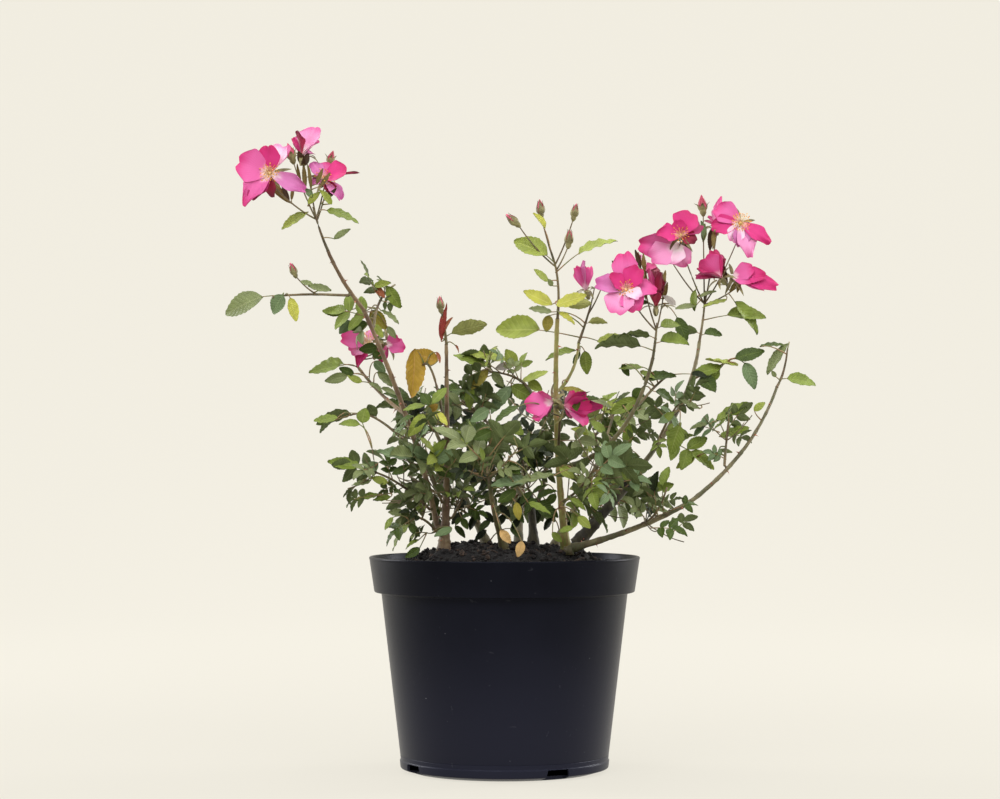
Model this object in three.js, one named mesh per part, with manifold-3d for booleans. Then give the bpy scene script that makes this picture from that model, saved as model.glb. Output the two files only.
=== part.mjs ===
// Potted rose bush: a small bush rose in flower, standing in a round nursery container.
// Millimetres, +Z up. The origin is the centre of the pot's flat underside and the front faces -Y.

import * as THREE from "three";
import { mergeVertices } from "three/addons/utils/BufferGeometryUtils.js";
import Module from "manifold-3d";

const wasm = await Module();
wasm.setup();

// ---------------------------------------------------------------- driving dimensions

const CLEAR = 0.35; // free gap between two neighbouring nodes

const POT = {
  height: 175,
  rimRadius: 111,
  rimFootRadius: 106.5,
  rimDepth: 29.5,
  lip: 1.2,
  wallTopRadius: 100.8,
  wallFootRadius: 84.7,
  wall: 2,
  floor: 3,
  footBand: 9,
  footBandRadius: 85.6,
  footChamfer: 3,
  baseRadius: 75,
  footDraft: 0.6, // the foot band leans out by this from its chamfer to its top
  rimDraft: 0.4, // and the rim from under its lip to the lip's edge
  lipFall: 0.6, // the lip's inner edge lies lower than its outer one
  rimWeb: 3.5, // height of the ledge inside the rim's foot
  step: 0.5, // height in which the wall steps to another radius
  facets: 36,
};

const NOTCH = {
  count: 4,
  firstAngle: 30,
  topWidth: 18.6,
  footWidth: 23.5,
  height: 9,
  depth: 9,
  overrun: 1, // the cut starts this far under the pot
};

const SOIL = {
  plateau: 182,
  plateauRadius: 68,
  edge: 158,
  edgeRadius: 98,
  wallGap: 0.4, // more room at the rim's foot, where the wall turns
};

const LIMB = {
  sides: 5,
  steps: 4, // straight lengths that a limb is bent from, unless it has its own number
  flare: 0.7, // how much wider the root collar is than the cane
  flareHeight: 12,
  steepest: 0.95, // cosine of the least angle at which a branch leaves a limb
  spacing: 3, // between the points by which a limb takes its room
};

const GROWTH = {
  seed: 112,
  twist: THREE.MathUtils.degToRad(137.5), // leaf buds follow one another round a stem by this angle
  spread: THREE.MathUtils.degToRad(58), // between a stem and its leaf or side twig
  lift: 0.22, // how far leaves turn up towards the light
  roll: THREE.MathUtils.degToRad(52), // how far a leaf rolls to one side about its stalk
  endLeaflet: 0.46,
  sideLeaflet: 0.41,
  lowerLeaflet: 0.36,
  leafletWidth: 0.66, // width over length
  leafletWaist: 0.44, // where along a leaflet it is widest
  leafletSpread: THREE.MathUtils.degToRad(68),
  firstPair: 0.47, // places of the pairs along the leaf, from its end
  secondPair: 0.23,
  neck: 0.03, // the blade narrows to its stalk this far under the lowest pair
  leafThick: 0.9,
  leafFold: 0.18,
  leafArch: 0.3,
  leafVary: 0.18, // share by which a leaf is shorter or longer than its mass's size
  rollVary: 0.35,
  stalkWidth: 1.8,
  rootSink: 1.2,
  touch: 3.4, // leaves nearer than this to another node are skipped
  crowding: 3.2, // and nearer than this to another leaf of their own
  spacing: 4, // between the points by which a twig takes its room
  attempts: 4, // turns tried before a leaf is given up
  firstSpot: 0.12, // where on a stem its leaves start
  spotRun: 0.86, // and over how much of it they are dealt out
};

const STEM = {
  radius: [1.5, 0.9],
  steps: 3,
  spacing: 3,
};

const TWIG = {
  radius: 1.1,
  sides: 3,
  taper: 0.35,
  length: 0.6, // of its mass's leaf size
  lengthVary: 0.3,
  leaves: 2,
  firstLeaf: 0.35, // where on a twig its leaves start
  leafRun: 0.6,
  leafVary: 0.15,
  bare: 3, // nothing is tried for room this near to the stem
};

// Where a leaf or stalk that goes out to a given place leaves its stem.
const FORK = {
  leafBack: 0.25, // below the nearest place on the stem, as a share of it
  stalkBack: 0.3,
  lowest: 0.1,
  vary: 0.06,
  leafStretch: 1.15, // the longest leaf on a twig, by its mass's size
  longestEnd: 0.85, // and the longest end leaflet of a leaf without pairs
};

const BLOOM = {
  petals: 5,
  pointsPerPetal: 3,
  notch: 0.45, // how far in the petals part from one another
  lean: 0.35, // a petal's two shoulders stand nearer to its notches by this
  boss: 2.2, // height of the stamens' boss over the throat
  underside: 1,
  calyxRadius: 3,
  calyxFoot: 0.6, // the calyx's radius at its stalk, by its own at the throat
  calyxHeight: 8,
  calyxSides: 5,
  calyxRun: 0.8, // how far the calyx reaches into the throat
  stalkRadius: 0.9,
  stalkRun: 1.5, // and the stalk into what it bears
  room: { back: 0.4, radius: 0.8 }, // the ball, by a bloom's radius, that leaves keep out of
};

const BUD = {
  sides: 4,
  radius: 0.15, // by its length
  profile: [0.5, 0.95, 1.2, 0.15],
  room: 0.18,
};

// Places on a leaf that are tried for room: along its stalk, and along and across each leaflet.
const STALK_SPOTS = [0.12, 0.24, 0.36, 0.48];
const LEAFLET_SPOTS = [
  [0.2, 0],
  [0.5, 0],
  [0.75, 0],
  [1, 0],
  [0.44, 1],
  [0.44, -1],
  [0.72, 0.5],
  [0.72, -0.5],
];

// ---------------------------------------------------------------- finishes

const finish = (name, color, roughness) =>
  new THREE.MeshStandardMaterial({ name, color, roughness, metalness: 0 });

const FINISH = {
  pot: () => finish("black_plastic", 0x1c1d26, 0.42),
  soil: () => finish("compost", 0x2a211b, 1),
  bark: () => finish("cane_bark", 0x74633f, 0.8),
  leaf: () => finish("rose_leaf", 0x5f7f35, 0.55),
  bloom: () => finish("rose_bloom", 0xd9489a, 0.6),
};

// ---------------------------------------------------------------- vectors and curves

const UP = new THREE.Vector3(0, 0, 1);

const vec = (xyz) => new THREE.Vector3(...xyz);

const mix = (a, b, share) => a.clone().lerp(b, share);

const along = (point, direction, distance) => point.clone().addScaledVector(direction, distance);

const squareTo = (direction, axis) =>
  direction.clone().addScaledVector(axis, -direction.dot(axis)).normalize();

// A curve from start to tip that passes through mid halfway.
function curveThrough(start, mid, tip) {
  const control = mid.clone().multiplyScalar(2).addScaledVector(mix(start, tip, 0.5), -1);
  return new THREE.QuadraticBezierCurve3(start, control, tip);
}

// Two directions square to an axis, steady along a gently bending limb.
function sideways(axis) {
  const helper = Math.abs(axis.z) > 0.9 ? new THREE.Vector3(0, -1, 0) : UP;
  const first = squareTo(helper, axis);
  const second = new THREE.Vector3().crossVectors(axis, first);
  return [first, second];
}

// The same run of numbers from 0 to 1 for the same seed.
function seededRandom(seed) {
  let state = seed >>> 0;
  return () => {
    state = (state + 0x6d2b79f5) >>> 0;
    let t = Math.imul(state ^ (state >>> 15), state | 1);
    t ^= t + Math.imul(t ^ (t >>> 7), t | 61);
    return ((t ^ (t >>> 14)) >>> 0) / 4294967296;
  };
}

// ---------------------------------------------------------------- solids

function toSolid(geometry) {
  geometry.deleteAttribute("normal");
  geometry.deleteAttribute("uv");
  const merged = mergeVertices(geometry, 1e-4);
  return new wasm.Manifold(
    new wasm.Mesh({
      numProp: 3,
      vertProperties: Float32Array.from(merged.attributes.position.array),
      triVerts: Uint32Array.from(merged.index.array),
    })
  );
}

function toGeometry(solid) {
  const mesh = solid.getMesh();
  const geometry = new THREE.BufferGeometry();
  geometry.setAttribute("position", new THREE.BufferAttribute(mesh.vertProperties, 3));
  geometry.setIndex(new THREE.BufferAttribute(mesh.triVerts, 1));
  const flat = geometry.toNonIndexed();
  flat.computeVertexNormals();
  return flat;
}

// One closed body from many, without loose scraps or sealed hollows.
function fuse(solids) {
  const joined = wasm.Manifold.union(solids).simplify(0.05);
  const bodies = joined.decompose();
  return bodies.reduce((best, body) => (body.volume() > best.volume() ? body : best));
}

function moveVertices(geometry, place) {
  const position = geometry.attributes.position;
  const point = new THREE.Vector3();
  for (let i = 0; i < position.count; i += 1) {
    point.fromBufferAttribute(position, i);
    const placed = place(point);
    position.setXYZ(i, placed.x, placed.y, placed.z);
  }
  return geometry;
}

// A round, tapering limb: a cylinder bent along a curve, with its radius given along the way.
function taperedTube(curve, radiusAt, sides, steps, flatFoot) {
  const tube = new THREE.CylinderGeometry(1, 1, 1, sides, steps);
  return moveVertices(tube, ({ x, y, z }) => {
    const share = Math.min(Math.max(y + 0.5, 0), 1);
    const centre = curve.getPoint(share);
    const axis = flatFoot && share === 0 ? UP.clone() : curve.getTangent(share);
    const [first, second] = sideways(axis);
    const radius = radiusAt(share);
    return centre.addScaledVector(first, z * radius).addScaledVector(second, x * radius);
  });
}

// One leaflet's outline on the right of the stalk: its lower shoulder, its tip and its upper shoulder.
function leafletOutline({ root, turn, length }) {
  const heading = new THREE.Vector2(Math.sin(turn), Math.cos(turn));
  const up = new THREE.Vector2(-heading.y, heading.x);
  const half = (length * GROWTH.leafletWidth) / 2;
  const spot = (run, across) =>
    root.clone().addScaledVector(heading, run * length).addScaledVector(up, across * half);
  return [spot(GROWTH.leafletWaist, -1), spot(1, 0), spot(GROWTH.leafletWaist, 1)];
}

// The leaflets of a leaf one unit long, with its stalk up the y axis: the right-hand ones and the end one.
function leafletsOf(pairs, endLength) {
  const turn = GROWTH.leafletSpread;
  const rows = [
    { root: new THREE.Vector2(0, GROWTH.secondPair), turn, length: GROWTH.lowerLeaflet },
    { root: new THREE.Vector2(0, GROWTH.firstPair), turn, length: GROWTH.sideLeaflet },
  ];
  const end = { root: new THREE.Vector2(0, 1 - endLength), turn: 0, length: endLength };
  return { rows: rows.slice(2 - pairs), end };
}

// A whole leaf as one blade: stalk, leaflets in pairs and an end one of endLength, laid out by place.
function leafShape(pairs, endLength, size, place) {
  const { rows, end } = leafletsOf(pairs, endLength);
  const half = GROWTH.stalkWidth / 2 / size;
  const right = [new THREE.Vector2(half, -GROWTH.rootSink / size)];
  rows.forEach((leaflet, row) => {
    const valley = row === 0 ? leaflet.root.y - GROWTH.neck : (leaflet.root.y + rows[row - 1].root.y) / 2;
    right.push(new THREE.Vector2(half, valley), ...leafletOutline(leaflet));
  });
  right.push(new THREE.Vector2(half, end.root.y));
  right.push(leafletOutline(end)[0]);
  const left = right.map(({ x, y }) => new THREE.Vector2(-x, y)).reverse();
  const outline = new THREE.Shape([...right, new THREE.Vector2(0, 1), ...left]);
  return moveVertices(new THREE.ExtrudeGeometry(outline, { depth: 1, bevelEnabled: false }), place);
}

// A five-petalled dish: a ring of petal outline points between the throat's underside and its boss.
function corollaShape(throat, axis, radius, open, phase) {
  const ring = BLOOM.petals * BLOOM.pointsPerPetal;
  const [first, second] = sideways(axis);
  const reaches = [BLOOM.notch, 1, 1];
  const turns = [0, -BLOOM.lean, BLOOM.lean];
  return moveVertices(new THREE.SphereGeometry(1, ring, 2), ({ x, y, z }) => {
    if (Math.abs(y) > 0.5) return along(throat, axis, y > 0 ? BLOOM.boss : -BLOOM.underside);
    const index = (Math.round((Math.atan2(z, x) / (2 * Math.PI)) * ring) + ring) % ring;
    const spot = index % BLOOM.pointsPerPetal;
    const turn = phase + ((index + turns[spot]) * 2 * Math.PI) / ring;
    const outward = first.clone().multiplyScalar(Math.cos(turn)).addScaledVector(second, -Math.sin(turn));
    const rise = Math.cos(open);
    return throat
      .clone()
      .addScaledVector(axis, rise * reaches[spot] * radius)
      .addScaledVector(outward, Math.sin(open) * reaches[spot] * radius);
  });
}

// ---------------------------------------------------------------- room between the nodes

// Points already taken by each node, looked up by cell, so that nodes keep clear of one another.
class Room {
  constructor(cell) {
    this.cell = cell;
    this.cells = new Map();
  }

  key(x, y, z) {
    return `${x},${y},${z}`;
  }

  take(owner, point, radius, isLeaf = false) {
    const [x, y, z] = point.toArray().map((value) => Math.floor(value / this.cell));
    const key = this.key(x, y, z);
    if (!this.cells.has(key)) this.cells.set(key, []);
    this.cells.get(key).push({ owner, point: point.clone(), radius, isLeaf });
  }

  // Whether a point keeps the gap touch to other nodes and the gap crowding to its own node's leaves.
  isFree(owner, point, touch, crowding) {
    const [x, y, z] = point.toArray().map((value) => Math.floor(value / this.cell));
    for (let i = -1; i <= 1; i += 1) {
      for (let j = -1; j <= 1; j += 1) {
        for (let k = -1; k <= 1; k += 1) {
          const near = this.cells.get(this.key(x + i, y + j, z + k)) || [];
          const blocked = near.some((taken) => {
            const isOwn = taken.owner === owner;
            if (isOwn && !taken.isLeaf) return false;
            const gap = isOwn ? crowding : touch;
            return taken.point.distanceTo(point) < taken.radius + gap;
          });
          if (blocked) return false;
        }
      }
    }
    return true;
  }
}

const room = new Room(18);

function pointsAlong(start, end, spacing) {
  const count = Math.max(1, Math.ceil(start.distanceTo(end) / spacing));
  return Array.from({ length: count + 1 }, (_, i) => mix(start, end, i / count));
}

function curvePoints(curve, spacing) {
  return curve.getSpacedPoints(Math.max(2, Math.ceil(curve.getLength() / spacing)));
}

// ---------------------------------------------------------------- pot and soil

function potProfile() {
  const wallTop = POT.height - POT.rimDepth;
  const innerAt = (z) =>
    THREE.MathUtils.mapLinear(z, POT.footBand, wallTop, POT.wallFootRadius, POT.wallTopRadius) -
    POT.wall;
  const points = [
    [0, 0],
    [POT.baseRadius, 0],
    [POT.footBandRadius - POT.footDraft, POT.footChamfer],
    [POT.footBandRadius, POT.footBand],
    [POT.wallFootRadius, POT.footBand + POT.step],
    [POT.wallTopRadius, wallTop],
    [POT.rimFootRadius, wallTop + POT.step],
    [POT.rimRadius - POT.rimDraft, POT.height - POT.lip],
    [POT.rimRadius - POT.lip, POT.height],
    [POT.rimRadius - POT.lip - POT.wall, POT.height - POT.lipFall],
    [POT.rimFootRadius - POT.wall, wallTop + POT.rimWeb],
    [innerAt(wallTop), wallTop + POT.wall],
    [innerAt(POT.floor), POT.floor],
    [0, POT.floor],
  ];
  return points.map(([radius, z]) => new THREE.Vector2(radius, z));
}

// A wedge-shaped block that cuts one drain slot through the wall's foot.
function notchShape(angle) {
  const outline = new THREE.Shape();
  outline.moveTo(-NOTCH.footWidth / 2, -NOTCH.overrun);
  outline.lineTo(NOTCH.footWidth / 2, -NOTCH.overrun);
  outline.lineTo(NOTCH.topWidth / 2, NOTCH.height);
  outline.lineTo(-NOTCH.topWidth / 2, NOTCH.height);
  outline.closePath();
  const block = new THREE.ExtrudeGeometry(outline, {
    depth: POT.footBandRadius,
    bevelEnabled: false,
  });
  block.rotateX(Math.PI / 2);
  block.translate(0, -(POT.footBandRadius - NOTCH.depth), 0);
  block.rotateZ(angle);
  return block;
}

function potSolid() {
  const shell = new THREE.LatheGeometry(potProfile(), POT.facets);
  shell.rotateX(Math.PI / 2);
  let pot = toSolid(shell);
  for (let i = 0; i < NOTCH.count; i += 1) {
    const angle = THREE.MathUtils.degToRad(NOTCH.firstAngle + (i * 360) / NOTCH.count);
    pot = pot.subtract(toSolid(notchShape(angle)));
  }
  return pot;
}

function soilSolid() {
  const wallTop = POT.height - POT.rimDepth;
  const gap = CLEAR + POT.wall;
  const footGap = (POT.wallTopRadius - POT.wallFootRadius) * (POT.floor / wallTop);
  const points = [
    [0, POT.floor + CLEAR],
    [POT.wallFootRadius - gap - footGap, POT.floor + CLEAR],
    [POT.wallTopRadius - gap - SOIL.wallGap, wallTop],
    [SOIL.edgeRadius, SOIL.edge],
    [SOIL.plateauRadius, SOIL.plateau],
    [0, SOIL.plateau],
  ];
  const heap = new THREE.LatheGeometry(
    points.map(([radius, z]) => new THREE.Vector2(radius, z)),
    POT.facets
  );
  heap.rotateX(Math.PI / 2);
  return toSolid(heap);
}

// ---------------------------------------------------------------- canes and boughs

// Each limb runs from its foot on the soil, or from a parent limb, through mid to tip.
const LIMBS = [
  { name: "cane_left", foot: [-49, -12], mid: [-47, -18, 247], tip: [-47, -34, 347], radius: [4, 1.4] },
  {
    name: "cane_left_tall",
    on: ["cane_left", 0.15],
    mid: [-77, -6, 280],
    tip: [-114, -24, 375],
    radius: [2.6, 1.8],
  },
  {
    name: "shoot_left_top",
    on: ["cane_left_tall", 1],
    mid: [-130, -37, 398],
    tip: [-142, -47, 422],
    radius: [1.8, 1.4],
  },
  {
    name: "bough_left_low",
    on: ["cane_left_tall", 0.57],
    mid: [-102, 22, 308],
    tip: [-121, 44, 329],
    radius: [1.7, 1.2],
  },
  { name: "stem_main", foot: [24, 8], mid: [23, 8, 204], tip: [21, 11, 225], radius: [3.4, 2.8] },
  { name: "bough_arch", on: ["stem_main", 0.8], mid: [36, 32, 270], tip: [19, 52, 315], radius: [2.2, 1.4] },
  { name: "bough_inner", on: ["stem_main", 0.9], mid: [-3, 40, 254], tip: [-14, 66, 284], radius: [2, 1.4] },
  { name: "shoot_centre", foot: [50, -20], mid: [42, -46, 278], tip: [42, -70, 366], radius: [3, 1.8] },
  {
    name: "twig_centre",
    on: ["shoot_centre", 0.67],
    mid: [55, -42, 327],
    tip: [60, -30, 348],
    radius: [1.5, 1.1],
  },
  { name: "cane_right_cut", foot: [58, 6], mid: [80, 5, 209], tip: [103, 4, 236], radius: [4.8, 4.2] },
  {
    name: "shoot_right_top",
    on: ["cane_right_cut", 0.8],
    mid: [143, 44, 291],
    tip: [166, 82, 354],
    radius: [2.4, 1.5],
  },
  {
    name: "shoot_right_mid",
    on: ["shoot_centre", 0.34],
    mid: [91, -60, 275],
    tip: [117, -82, 334],
    radius: [2.2, 1.4],
    steps: 5,
  },
  { name: "sweep_lower", foot: [52, -38], mid: [106, -32, 199], tip: [151, -18, 220], radius: [2.6, 2] },
  {
    name: "sweep_upper",
    on: ["sweep_lower", 1],
    mid: [197, 6, 263],
    tip: [227, 36, 314],
    radius: [1.9, 1.2],
  },
  { name: "cane_back_left", foot: [-14, 34], mid: [-38, 68, 232], tip: [-58, 96, 276], radius: [3, 1.6] },
  { name: "cane_back", foot: [12, 48], mid: [16, 86, 238], tip: [24, 110, 284], radius: [3, 1.6] },
  { name: "cane_back_right", foot: [42, 38], mid: [72, 78, 236], tip: [92, 108, 276], radius: [3, 1.6] },
  { name: "cane_front", foot: [0, -40], mid: [-8, -64, 212], tip: [-12, -86, 236], radius: [2.6, 1.7] },
];

const limbs = new Map();

// The point from which a branch leaves a limb, just clear of its side or of its tip.
function branchStart(limbName, share, towards, radius) {
  const limb = limbs.get(limbName);
  const centre = limb.curve.getPoint(share);
  const axis = limb.curve.getTangent(share);
  const heading = towards.clone().sub(centre).normalize();
  const lean = THREE.MathUtils.clamp(heading.dot(axis), -LIMB.steepest, LIMB.steepest);
  const sine = Math.sqrt(1 - lean * lean);
  if (share === 1) return along(centre, axis, CLEAR + radius * sine);
  const gap = limb.radiusAt(share) + CLEAR + radius * Math.min(1, Math.max(0, lean) + 0.5);
  return along(centre, squareTo(heading, axis), gap);
}

function layLimb({ name, foot, on, mid, tip, radius, steps = LIMB.steps }) {
  const [startRadius, tipRadius] = radius;
  const start = foot
    ? new THREE.Vector3(...foot, SOIL.plateau + CLEAR)
    : branchStart(...on, vec(mid), startRadius);
  const curve = curveThrough(start, vec(mid), vec(tip));
  const length = curve.getLength();
  const radiusAt = (share) => {
    const taper = THREE.MathUtils.lerp(startRadius, tipRadius, share);
    const flare = foot ? LIMB.flare * Math.exp((-share * length) / LIMB.flareHeight) : 0;
    return taper * (1 + flare);
  };
  limbs.set(name, { name, curve, radiusAt, steps, rooted: Boolean(foot) });
  curvePoints(curve, LIMB.spacing).forEach((point, i, all) => {
    room.take(name, point, radiusAt(i / (all.length - 1)));
  });
}

function limbSolid({ curve, radiusAt, steps, rooted }) {
  return toSolid(taperedTube(curve, radiusAt, LIMB.sides, steps, rooted));
}

// ---------------------------------------------------------------- foliage and bloom masses

// Each mass grows from one stem that starts on a limb (on: name and share of its length), bends through
// mid and ends at tip. space is the box, from low corner to high corner, that nothing of it leaves.
// reach holds the tips of leaves that go out to the crown's edge; leaves and twigs fill in between. A bloom
// is [place, facing, radius, opening in degrees]. A bud is [place, facing, length].
const PLAIN_MASS = { leaves: 0, twigs: 0, size: 40, leaflets: 3, reach: [], blooms: [], buds: [] };

const MASSES = [
  {
    name: "bloom_left_top",
    on: ["shoot_left_top", 1],
    mid: [-148, -54, 438],
    tip: [-153, -60, 456],
    space: [[-226, -125, 416], [-106, -10, 526]],
    leaflets: 1,
    size: 32,
    reach: [[-176, -64, 440], [-117, -56, 450], [-126, -52, 427]],
    blooms: [
      [[-190, -86, 477], [-0.35, -1, 0.15], 26, 78],
      [[-157, -58, 497], [0.15, 0.5, 1], 21, 58],
      [[-137, -54, 476], [0.7, -0.6, 0.1], 24, 62],
    ],
    buds: [[[-168, -66, 490], [-0.3, -0.2, 1], 17], [[-142, -44, 490], [0.3, 0.2, 1], 14]],
  },
  {
    name: "spray_left_arm",
    on: ["shoot_left_top", 0.3],
    mid: [-160, -58, 386],
    tip: [-184, -74, 383],
    space: [[-232, -112, 350], [-132, -20, 424]],
    leaflets: 1,
    size: 34,
    reach: [[-224, -80, 374], [-190, -74, 364], [-172, -66, 360]],
    buds: [[[-166, -64, 399], [-0.4, -0.1, 1], 13]],
  },
  {
    name: "spray_left_mid",
    on: ["cane_left_tall", 0.93],
    mid: [-102, -2, 384],
    tip: [-90, 8, 398],
    space: [[-156, -44, 332], [-70, 56, 420]],
    leaves: 1,
    size: 42,
    leaflets: 5,
    reach: [[-148, 4, 378], [-125, -4, 344], [-92, -8, 347], [-84, 6, 380], [-104, 12, 406]],
  },
  {
    name: "bloom_left_low",
    on: ["bough_left_low", 1],
    mid: [-123, 47, 335],
    tip: [-118, 46, 342],
    space: [[-172, 0, 296], [-68, 98, 376]],
    leaflets: 1,
    size: 30,
    reach: [[-164, 54, 334], [-150, 40, 320], [-128, 44, 306], [-92, 38, 312], [-140, 30, 326]],
    blooms: [
      [[-122, 42, 346], [-0.3, -1, 0.35], 21, 72],
      [[-92, 38, 348], [0.7, -0.5, -0.3], 14, 50],
    ],
    buds: [[[-109, 44, 338], [0.3, -0.2, 0.8], 15]],
  },
  {
    name: "spray_left_reach",
    on: ["cane_left_tall", 0.4],
    mid: [-104, -8, 287],
    tip: [-126, -10, 290],
    space: [[-160, -52, 262], [-78, 40, 312]],
    size: 30,
    leaflets: 1,
    reach: [[-155, -12, 288], [-140, 4, 282], [-112, -14, 300], [-138, -20, 296]],
  },
  {
    name: "spray_left_low",
    on: ["cane_left_tall", 0.1],
    mid: [-88, -28, 236],
    tip: [-114, -34, 246],
    space: [[-150, -78, 180], [-60, 18, 268]],
    leaves: 1,
    size: 44,
    leaflets: 5,
    reach: [[-141, -36, 252], [-128, -34, 234], [-104, -34, 224], [-84, -30, 196], [-97, -30, 262]],
  },
  {
    name: "spray_left_foot",
    on: ["cane_left", 0.1],
    mid: [-66, -30, 206],
    tip: [-76, -36, 204],
    space: [[-112, -68, 174], [-50, 2, 226]],
    size: 36,
    reach: [[-98, -36, 186], [-84, -44, 182]],
  },
  {
    name: "leaves_bronze",
    on: ["cane_left", 0.72],
    mid: [-58, -42, 324],
    tip: [-66, -44, 330],
    space: [[-90, -80, 284], [-46, -4, 354]],
    leaflets: 1,
    size: 36,
    reach: [[-78, -46, 308], [-54, -44, 343], [-64, -36, 290], [-56, -40, 312]],
  },
  {
    name: "tip_red",
    on: ["cane_left", 1],
    mid: [-49, -38, 364],
    tip: [-51, -42, 376],
    space: [[-64, -74, 335], [4, -5, 392]],
    leaflets: 1,
    size: 36,
    reach: [[-14, -36, 366], [-26, -32, 346]],
    buds: [[[-51, -42, 372], [-0.1, 0, 1], 14]],
  },
  {
    name: "spray_arch",
    on: ["bough_arch", 1],
    mid: [6, 56, 324],
    tip: [-14, 58, 328],
    space: [[-58, 16, 284], [42, 98, 356]],
    size: 42,
    leaflets: 3,
    reach: [[-36, 58, 347], [17, 58, 346], [-41, 52, 307], [34, 50, 327], [-6, 62, 304], [26, 54, 300]],
  },
  {
    name: "mass_inner_left",
    on: ["bough_inner", 1],
    mid: [-24, 70, 294],
    tip: [-36, 66, 304],
    space: [[-82, 16, 232], [14, 112, 326]],
    leaves: 4,
    size: 50,
    leaflets: 5,
    reach: [[-68, 56, 296], [-30, 70, 252]],
  },
  {
    name: "bloom_centre_low",
    on: ["shoot_centre", 0.42],
    mid: [44, -66, 284],
    tip: [46, -74, 292],
    space: [[2, -128, 244], [92, -46, 320]],
    size: 36,
    reach: [[74, -70, 268], [20, -72, 262]],
    blooms: [
      [[30, -84, 296], [-0.7, -0.7, 0.5], 17, 48],
      [[60, -84, 297], [0.6, -0.8, 0.45], 22, 58],
    ],
  },
  {
    name: "mass_left",
    on: ["cane_left", 0.32],
    mid: [-62, -34, 250],
    tip: [-72, -42, 272],
    space: [[-102, -88, 196], [-24, 18, 304]],
    leaves: 4,
    size: 48,
    leaflets: 5,
  },
  {
    name: "mass_left_inner",
    on: ["cane_left", 0.22],
    mid: [-30, -8, 234],
    tip: [-24, 2, 268],
    space: [[-56, -48, 186], [10, 44, 304]],
    leaves: 3,
    size: 48,
    leaflets: 5,
    reach: [[-30, -22, 198], [-4, -14, 206]],
  },
  {
    name: "mass_centre",
    on: ["stem_main", 1],
    mid: [16, 4, 246],
    tip: [14, -4, 272],
    space: [[-22, -46, 200], [62, 44, 304]],
    reach: [[38, -22, 208], [6, -26, 212]],
    leaves: 4,
    size: 48,
    leaflets: 5,
  },
  {
    name: "mass_front",
    on: ["cane_front", 1],
    mid: [-14, -92, 250],
    tip: [-12, -90, 266],
    space: [[-64, -138, 200], [38, -44, 298]],
    reach: [[-4, -92, 206], [-30, -84, 204], [30, -86, 207]],
    leaves: 4,
    size: 48,
    leaflets: 5,
  },
  {
    name: "mass_front_right",
    on: ["shoot_centre", 0.2],
    mid: [62, -62, 234],
    tip: [72, -76, 250],
    space: [[28, -122, 192], [122, -34, 278]],
    reach: [[54, -72, 200], [84, -64, 198]],
    leaves: 3,
    size: 46,
    leaflets: 5,
  },
  {
    name: "mass_right",
    on: ["cane_right_cut", 0.4],
    mid: [76, -4, 246],
    tip: [74, -8, 276],
    space: [[44, -46, 200], [122, 52, 306]],
    leaves: 3,
    size: 46,
    leaflets: 5,
  },
  {
    name: "buds_centre_top",
    on: ["shoot_centre", 1],
    mid: [42, -78, 396],
    tip: [36, -84, 420],
    space: [[-6, -128, 358], [98, -38, 466]],
    leaflets: 1,
    size: 32,
    reach: [
      [6, -84, 432],
      [87, -80, 431],
      [9, -84, 404],
      [13, -82, 380],
      [68, -76, 378],
      [66, -78, 392],
      [22, -84, 392],
    ],
    buds: [
      [[12, -86, 438], [-0.8, -0.2, 0.7], 15],
      [[29, -84, 445], [-0.1, 0, 1], 15],
      [[54, -82, 443], [0.2, 0, 1], 14],
      [[50, -84, 421], [0.1, -0.1, 1], 15],
    ],
  },
  {
    name: "bloom_centre_mid",
    on: ["twig_centre", 1],
    mid: [66, -28, 366],
    tip: [70, -30, 380],
    space: [[-18, -66, 314], [92, 14, 418]],
    leaflets: 1,
    size: 38,
    reach: [[-9, -22, 361], [63, -30, 322], [33, -28, 343], [12, -20, 346], [84, -26, 366]],
    blooms: [[[70, -30, 398], [-0.4, -0.5, 0.6], 19, 46]],
    buds: [[[78, -36, 392], [0.3, -0.3, 0.9], 12]],
  },
  {
    name: "bloom_right_a",
    on: ["shoot_right_mid", 1],
    mid: [119, -86, 350],
    tip: [120, -88, 362],
    space: [[62, -135, 334], [160, -34, 430]],
    leaflets: 1,
    size: 36,
    reach: [[89, -84, 358], [148, -82, 350], [72, -80, 349], [107, -84, 344], [140, -80, 364]],
    blooms: [
      [[95, -98, 386], [-0.35, -1, 0.3], 25, 76],
      [[110, -74, 404], [0.1, -0.35, 1], 19, 52],
      [[127, -90, 384], [0.3, -0.9, 0.35], 19, 44],
    ],
  },
  {
    name: "bloom_right_b",
    on: ["shoot_right_top", 1],
    mid: [170, 90, 376],
    tip: [172, 94, 398],
    space: [[110, 36, 350], [244, 144, 490]],
    leaflets: 1,
    size: 36,
    reach: [[226, 90, 378], [201, 88, 392], [146, 88, 366], [188, 92, 362]],
    blooms: [
      [[148, 74, 440], [-0.3, -1, 0.45], 22, 66],
      [[136, 84, 426], [-0.7, -0.7, -0.1], 20, 58],
      [[200, 84, 440], [0.4, -1, 0.4], 22, 70],
      [[176, 76, 414], [0.1, -0.9, 0.1], 20, 44],
      [[210, 86, 406], [0.9, -0.3, 0.15], 23, 62],
      [[184, 94, 456], [0.35, 0.5, 1], 18, 52],
    ],
    buds: [[[170, 88, 462], [-0.1, 0, 1], 18]],
  },
  {
    name: "spray_right_mid",
    on: ["shoot_right_mid", 0.72],
    mid: [124, -56, 316],
    tip: [134, -54, 322],
    space: [[86, -92, 286], [170, -12, 346]],
    size: 30,
    leaflets: 1,
    reach: [[94, -60, 332], [148, -56, 342], [118, -56, 304], [136, -50, 300], [158, -50, 322]],
  },
  {
    name: "spray_right_inner",
    on: ["shoot_right_mid", 0.34],
    mid: [86, -36, 284],
    tip: [90, -32, 298],
    space: [[54, -72, 254], [124, 6, 318]],
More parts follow.
